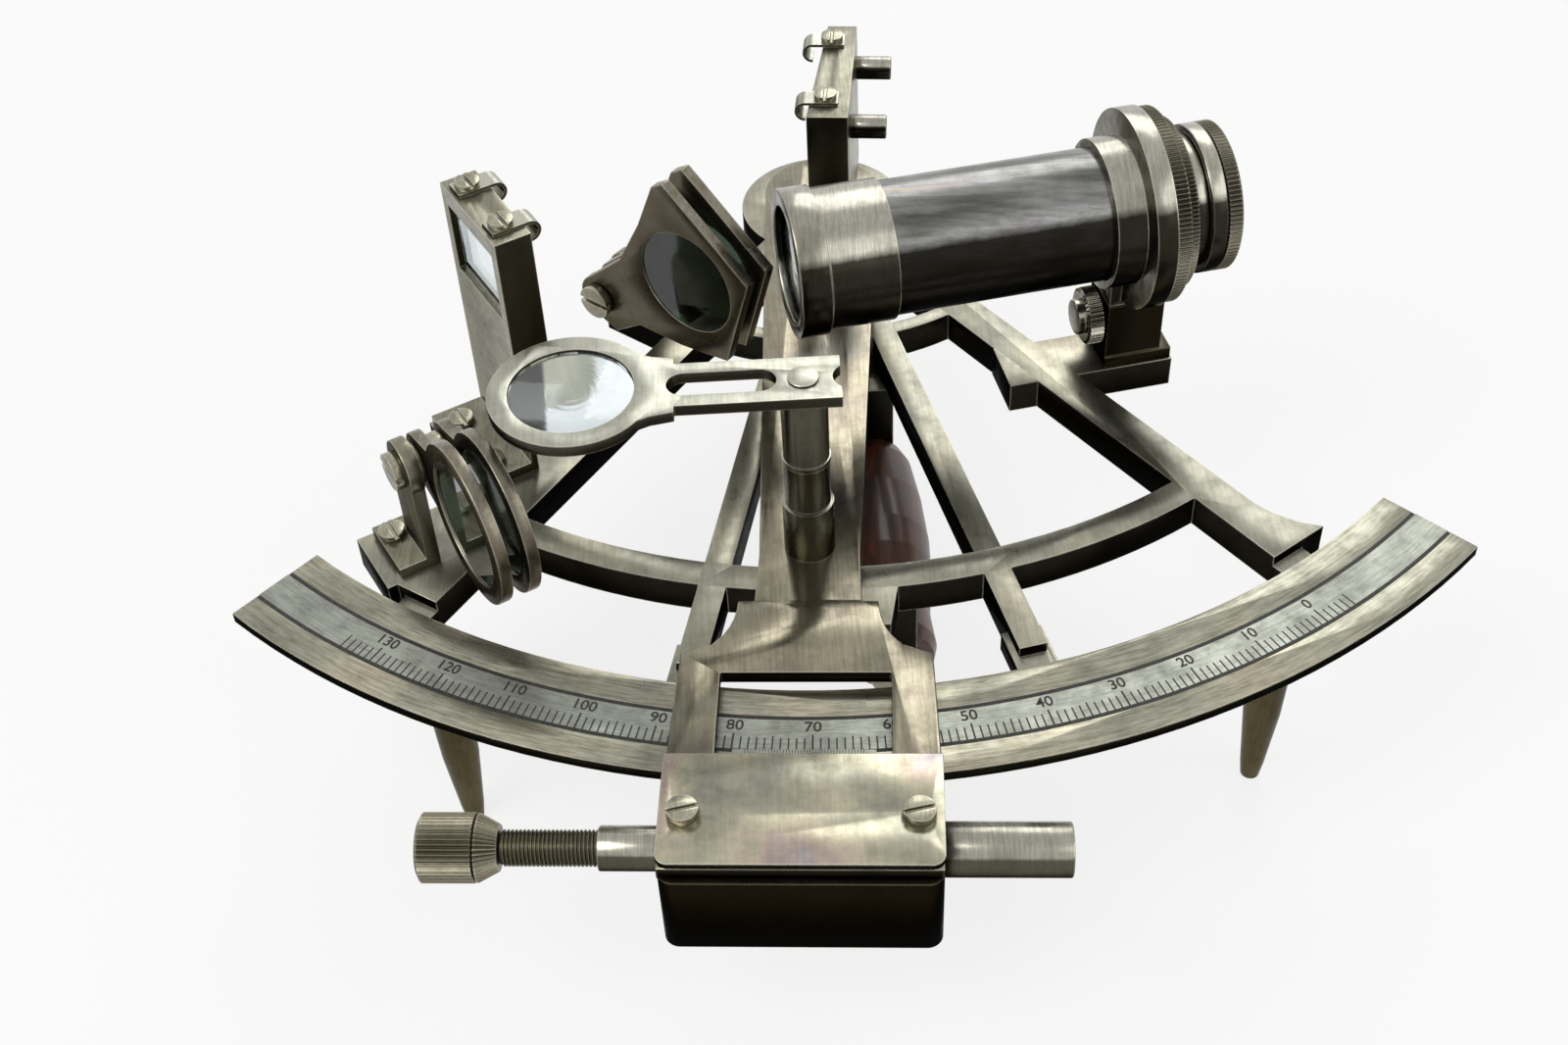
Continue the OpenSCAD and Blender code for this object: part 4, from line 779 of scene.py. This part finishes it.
def onArc(radiusMm, angleDegrees, heightMm):
    # A place on the limb, turned so that local -Y points outwards from the pivot
    return (Matrix.Translation(pivot) @ Matrix.Rotation(math.radians(angleDegrees), 4, "Z")
            @ Matrix.Translation((0, -mm(radiusMm), mm(heightMm))))


def markBar(lengthMm, widthMm, heightMm):
    deselectAll()
    bpy.ops.mesh.primitive_cube_add(size=1, location=(0, 0, 0))
    piece = bpy.context.object
    piece.scale = (mm(widthMm), mm(lengthMm), mm(heightMm))
    bpy.ops.object.transform_apply(scale=True)
    return piece


def copyOf(piece):
    copy = bpy.data.objects.new(piece.name, piece.data.copy())
    bpy.context.scene.collection.objects.link(copy)
    return copy


def scaleTicks(look):
    # One bar of each length, copied to its readings
    def tick(innerMm, widthMm):
        return markBar(look["tickOut"] - innerMm, widthMm, look["rise"]), innerMm

    short = tick(look["tickIn"], look["tickWidth"])
    middle = tick(look["middleIn"], look["tickWidth"])
    long = tick(look["longIn"], look["tickWidth"] * look["longWiden"])
    marks = []
    for reading in range(look["first"], look["last"] + 1):
        model, inner = long if reading % 10 == 0 else middle if reading % 5 == 0 else short
        mark = copyOf(model)
        angle = look["zeroAngle"] + reading * look["degreesPerUnit"]
        mark.matrix_world = onArc((inner + look["tickOut"]) / 2, angle, look["rise"] / 2)
        marks.append(mark)
    for model in (short[0], middle[0], long[0]):
        bpy.data.objects.remove(model)
    finishPiece(joinPieces(marks), "scale_ticks", blackWax, "silver_scale", hides=False)


def engravedNumber(text, look):
    deselectAll()
    bpy.ops.object.text_add()
    number = bpy.context.object
    number.data.body = text
    number.data.size = mm(look["numberSize"])
    number.data.align_x = "CENTER"
    number.data.align_y = "CENTER"
    number.data.extrude = mm(look["numberDepth"])
    number.data.offset = mm(look["numberBold"])
    bpy.ops.object.convert(target="MESH")
    return bpy.context.object


def scaleNumbers(look):
    numbers = []
    for reading in range(0, look["numberLast"] + 1, look["numberStep"]):
        number = engravedNumber(str(reading), look)
        angle = look["zeroAngle"] + reading * look["degreesPerUnit"]
        number.matrix_world = onArc(look["numberRadius"], angle, look["numberRise"])
        numbers.append(number)
    finishPiece(joinPieces(numbers), "scale_numbers", blackWax, "silver_scale", hides=False)


def limbGrooves(look):
    # Two engraved rings, spun from a short flat edge
    parts = []
    start = math.radians(-90 - look["half"])
    outwards = Vector((math.cos(start), math.sin(start), 0))
    for radius, width in look["grooves"]:
        piece, shape = emptyPiece()
        ends = []
        for distance in (radius, radius + width):
            place = pivot + outwards * mm(distance)
            ends.append(shape.verts.new(place + Vector((0, 0, mm(look["rise"])))))
        edge = shape.edges.new(ends)
        edge.select_set(True)
        bmesh.update_edit_mesh(piece.data)
        bpy.ops.mesh.spin(steps=look["grooveSteps"], angle=math.radians(2 * look["half"]),
                          center=pivot, axis=(0, 0, -1))
        bpy.ops.mesh.select_all(action="SELECT")
        bpy.ops.mesh.normals_make_consistent(inside=False)
        bpy.ops.object.mode_set(mode="OBJECT")
        if piece.data.polygons[0].normal.z < 0:
            piece.data.flip_normals()
        parts.append(piece)
    finishPiece(joinPieces(parts), "limb_grooves", blackWax, "silver_scale", hides=False)


vernierLook = {"inner": 176.6, "outer": 179.2, "long": 180.0, "steps": 40, "longEvery": 5,
               "half": 3.6, "height": 1.0, "width": 0.14, "rise": 0.02}


def vernierMarks(look):
    marks = []
    for step in range(look["steps"] + 1):
        outer = look["long"] if step % look["longEvery"] == 0 else look["outer"]
        mark = markBar(outer - look["inner"], look["width"], look["rise"])
        angle = restAngle - look["half"] + 2 * look["half"] * step / look["steps"]
        mark.matrix_world = onArc((outer + look["inner"]) / 2, angle,
                                  look["height"] + look["rise"] / 2)
        marks.append(mark)
    finishPiece(joinPieces(marks), "vernier_marks", blackWax, "vernier", hides=False)


scaleTicks(scaleLook)
scaleNumbers(scaleLook)
limbGrooves(scaleLook)
vernierMarks(vernierLook)
print("scale engraved")

# The position is in millimetres from the pivot
cameraLook = {"position": (-13.8, -412.1, 289.8), "tilt": 44.19, "roll": 3.08, "focal": 45.5,
              "sensor": 36, "nearest": 0.01}


def addCamera(look):
    # A camera found from the arc's outline, with the roll that the photograph has
    tilt, roll = math.radians(look["tilt"]), math.radians(look["roll"])
    forward = Vector((0, math.cos(tilt), -math.sin(tilt)))
    right = Vector((1, 0, 0))
    down = forward.cross(right)
    imageRight = math.cos(roll) * right + math.sin(roll) * down
    imageDown = -math.sin(roll) * right + math.cos(roll) * down
    camera = bpy.data.cameras.new("photo camera")
    camera.lens = look["focal"]
    camera.sensor_width = look["sensor"]
    camera.clip_start = look["nearest"]
    holder = bpy.data.objects.new("photo camera", camera)
    bpy.context.scene.collection.objects.link(holder)
    axes = Matrix((imageRight, -imageDown, -forward)).transposed().to_4x4()
    place = pivot + Vector([mm(value) for value in look["position"]])
    holder.matrix_world = Matrix.Translation(place) @ axes
    bpy.context.scene.camera = holder


# Each lamp is its name, place, size in metres and power in watts
stageLook = {"floor": "#f2f2f0", "floorSize": 6, "whiteShare": 0.8, "worldFill": 0.42,
             "aim": (0, 0, 0.04),
             "lamps": [("key", (-0.7, -0.5, 1.1), 0.7, 7), ("fill", (0.9, -0.6, 0.7), 0.9, 3),
                       ("rim", (0.3, 1.1, 0.9), 0.8, 5)]}


def lookedAt(owner):
    # 1 for what is seen directly, mirrored or through glass, and 0 for what lights the object
    paths = addNode(owner, "ShaderNodeLightPath")
    direct = addNode(owner, "ShaderNodeMath", {"operation": "MAXIMUM"},
                     {0: paths.outputs["Is Camera Ray"], 1: paths.outputs["Is Transmission Ray"]})
    return addNode(owner, "ShaderNodeMath", {"operation": "MAXIMUM"},
                   {0: direct.outputs[0], 1: paths.outputs["Is Glossy Ray"]}).outputs[0]


def addFloor(look):
    deselectAll()
    bpy.ops.mesh.primitive_plane_add(size=look["floorSize"], location=(0, 0, 0))
    floor = bpy.context.object
    floor.name = "floor"
    material = newMaterial("pale studio floor")
    # Where it is looked at, the paper is mostly plain white, with the shadow still on it
    share = addNode(material, "ShaderNodeMath", {"operation": "MULTIPLY"},
                    {0: lookedAt(material), 1: look["whiteShare"]})
    paper = addNode(material, "ShaderNodeBsdfDiffuse", None, {0: hexColour(look["floor"])})
    plain = addNode(material, "ShaderNodeEmission", None, {0: white, 1: 1.0})
    mixed = addNode(material, "ShaderNodeMixShader", None,
                    {0: share.outputs[0], 1: paper.outputs[0], 2: plain.outputs[0]})
    addNode(material, "ShaderNodeOutputMaterial", None, {0: mixed.outputs[0]})
    floor.data.materials.append(material)


def addWorld(look):
    # White where it is looked at, and a softer fill on the object
    world = bpy.data.worlds.new("studio")
    bpy.context.scene.world = world
    world.use_nodes = True
    world.node_tree.nodes.clear()
    level = addNode(world, "ShaderNodeMapRange", None,
                    {0: lookedAt(world), 3: look["worldFill"], 4: 1.0})
    sky = addNode(world, "ShaderNodeBackground", None, {0: white, 1: level.outputs[0]})
    addNode(world, "ShaderNodeOutputWorld", None, {0: sky.outputs[0]})


def addLamps(look):
    for name, place, size, power in look["lamps"]:
        lamp = bpy.data.lights.new(name, "AREA")
        lamp.size = size
        lamp.energy = power
        holder = bpy.data.objects.new(name, lamp)
        bpy.context.scene.collection.objects.link(holder)
        aim = Vector(place) - Vector(look["aim"])
        turn = aim.to_track_quat("Z", "Y").to_matrix().to_4x4()
        holder.matrix_world = Matrix.Translation(place) @ turn


addCamera(cameraLook)
addFloor(stageLook)
addWorld(stageLook)
addLamps(stageLook)
bpy.context.scene.view_settings.view_transform = "Standard"
print("camera and stage set,", len(pieces), "pieces made")
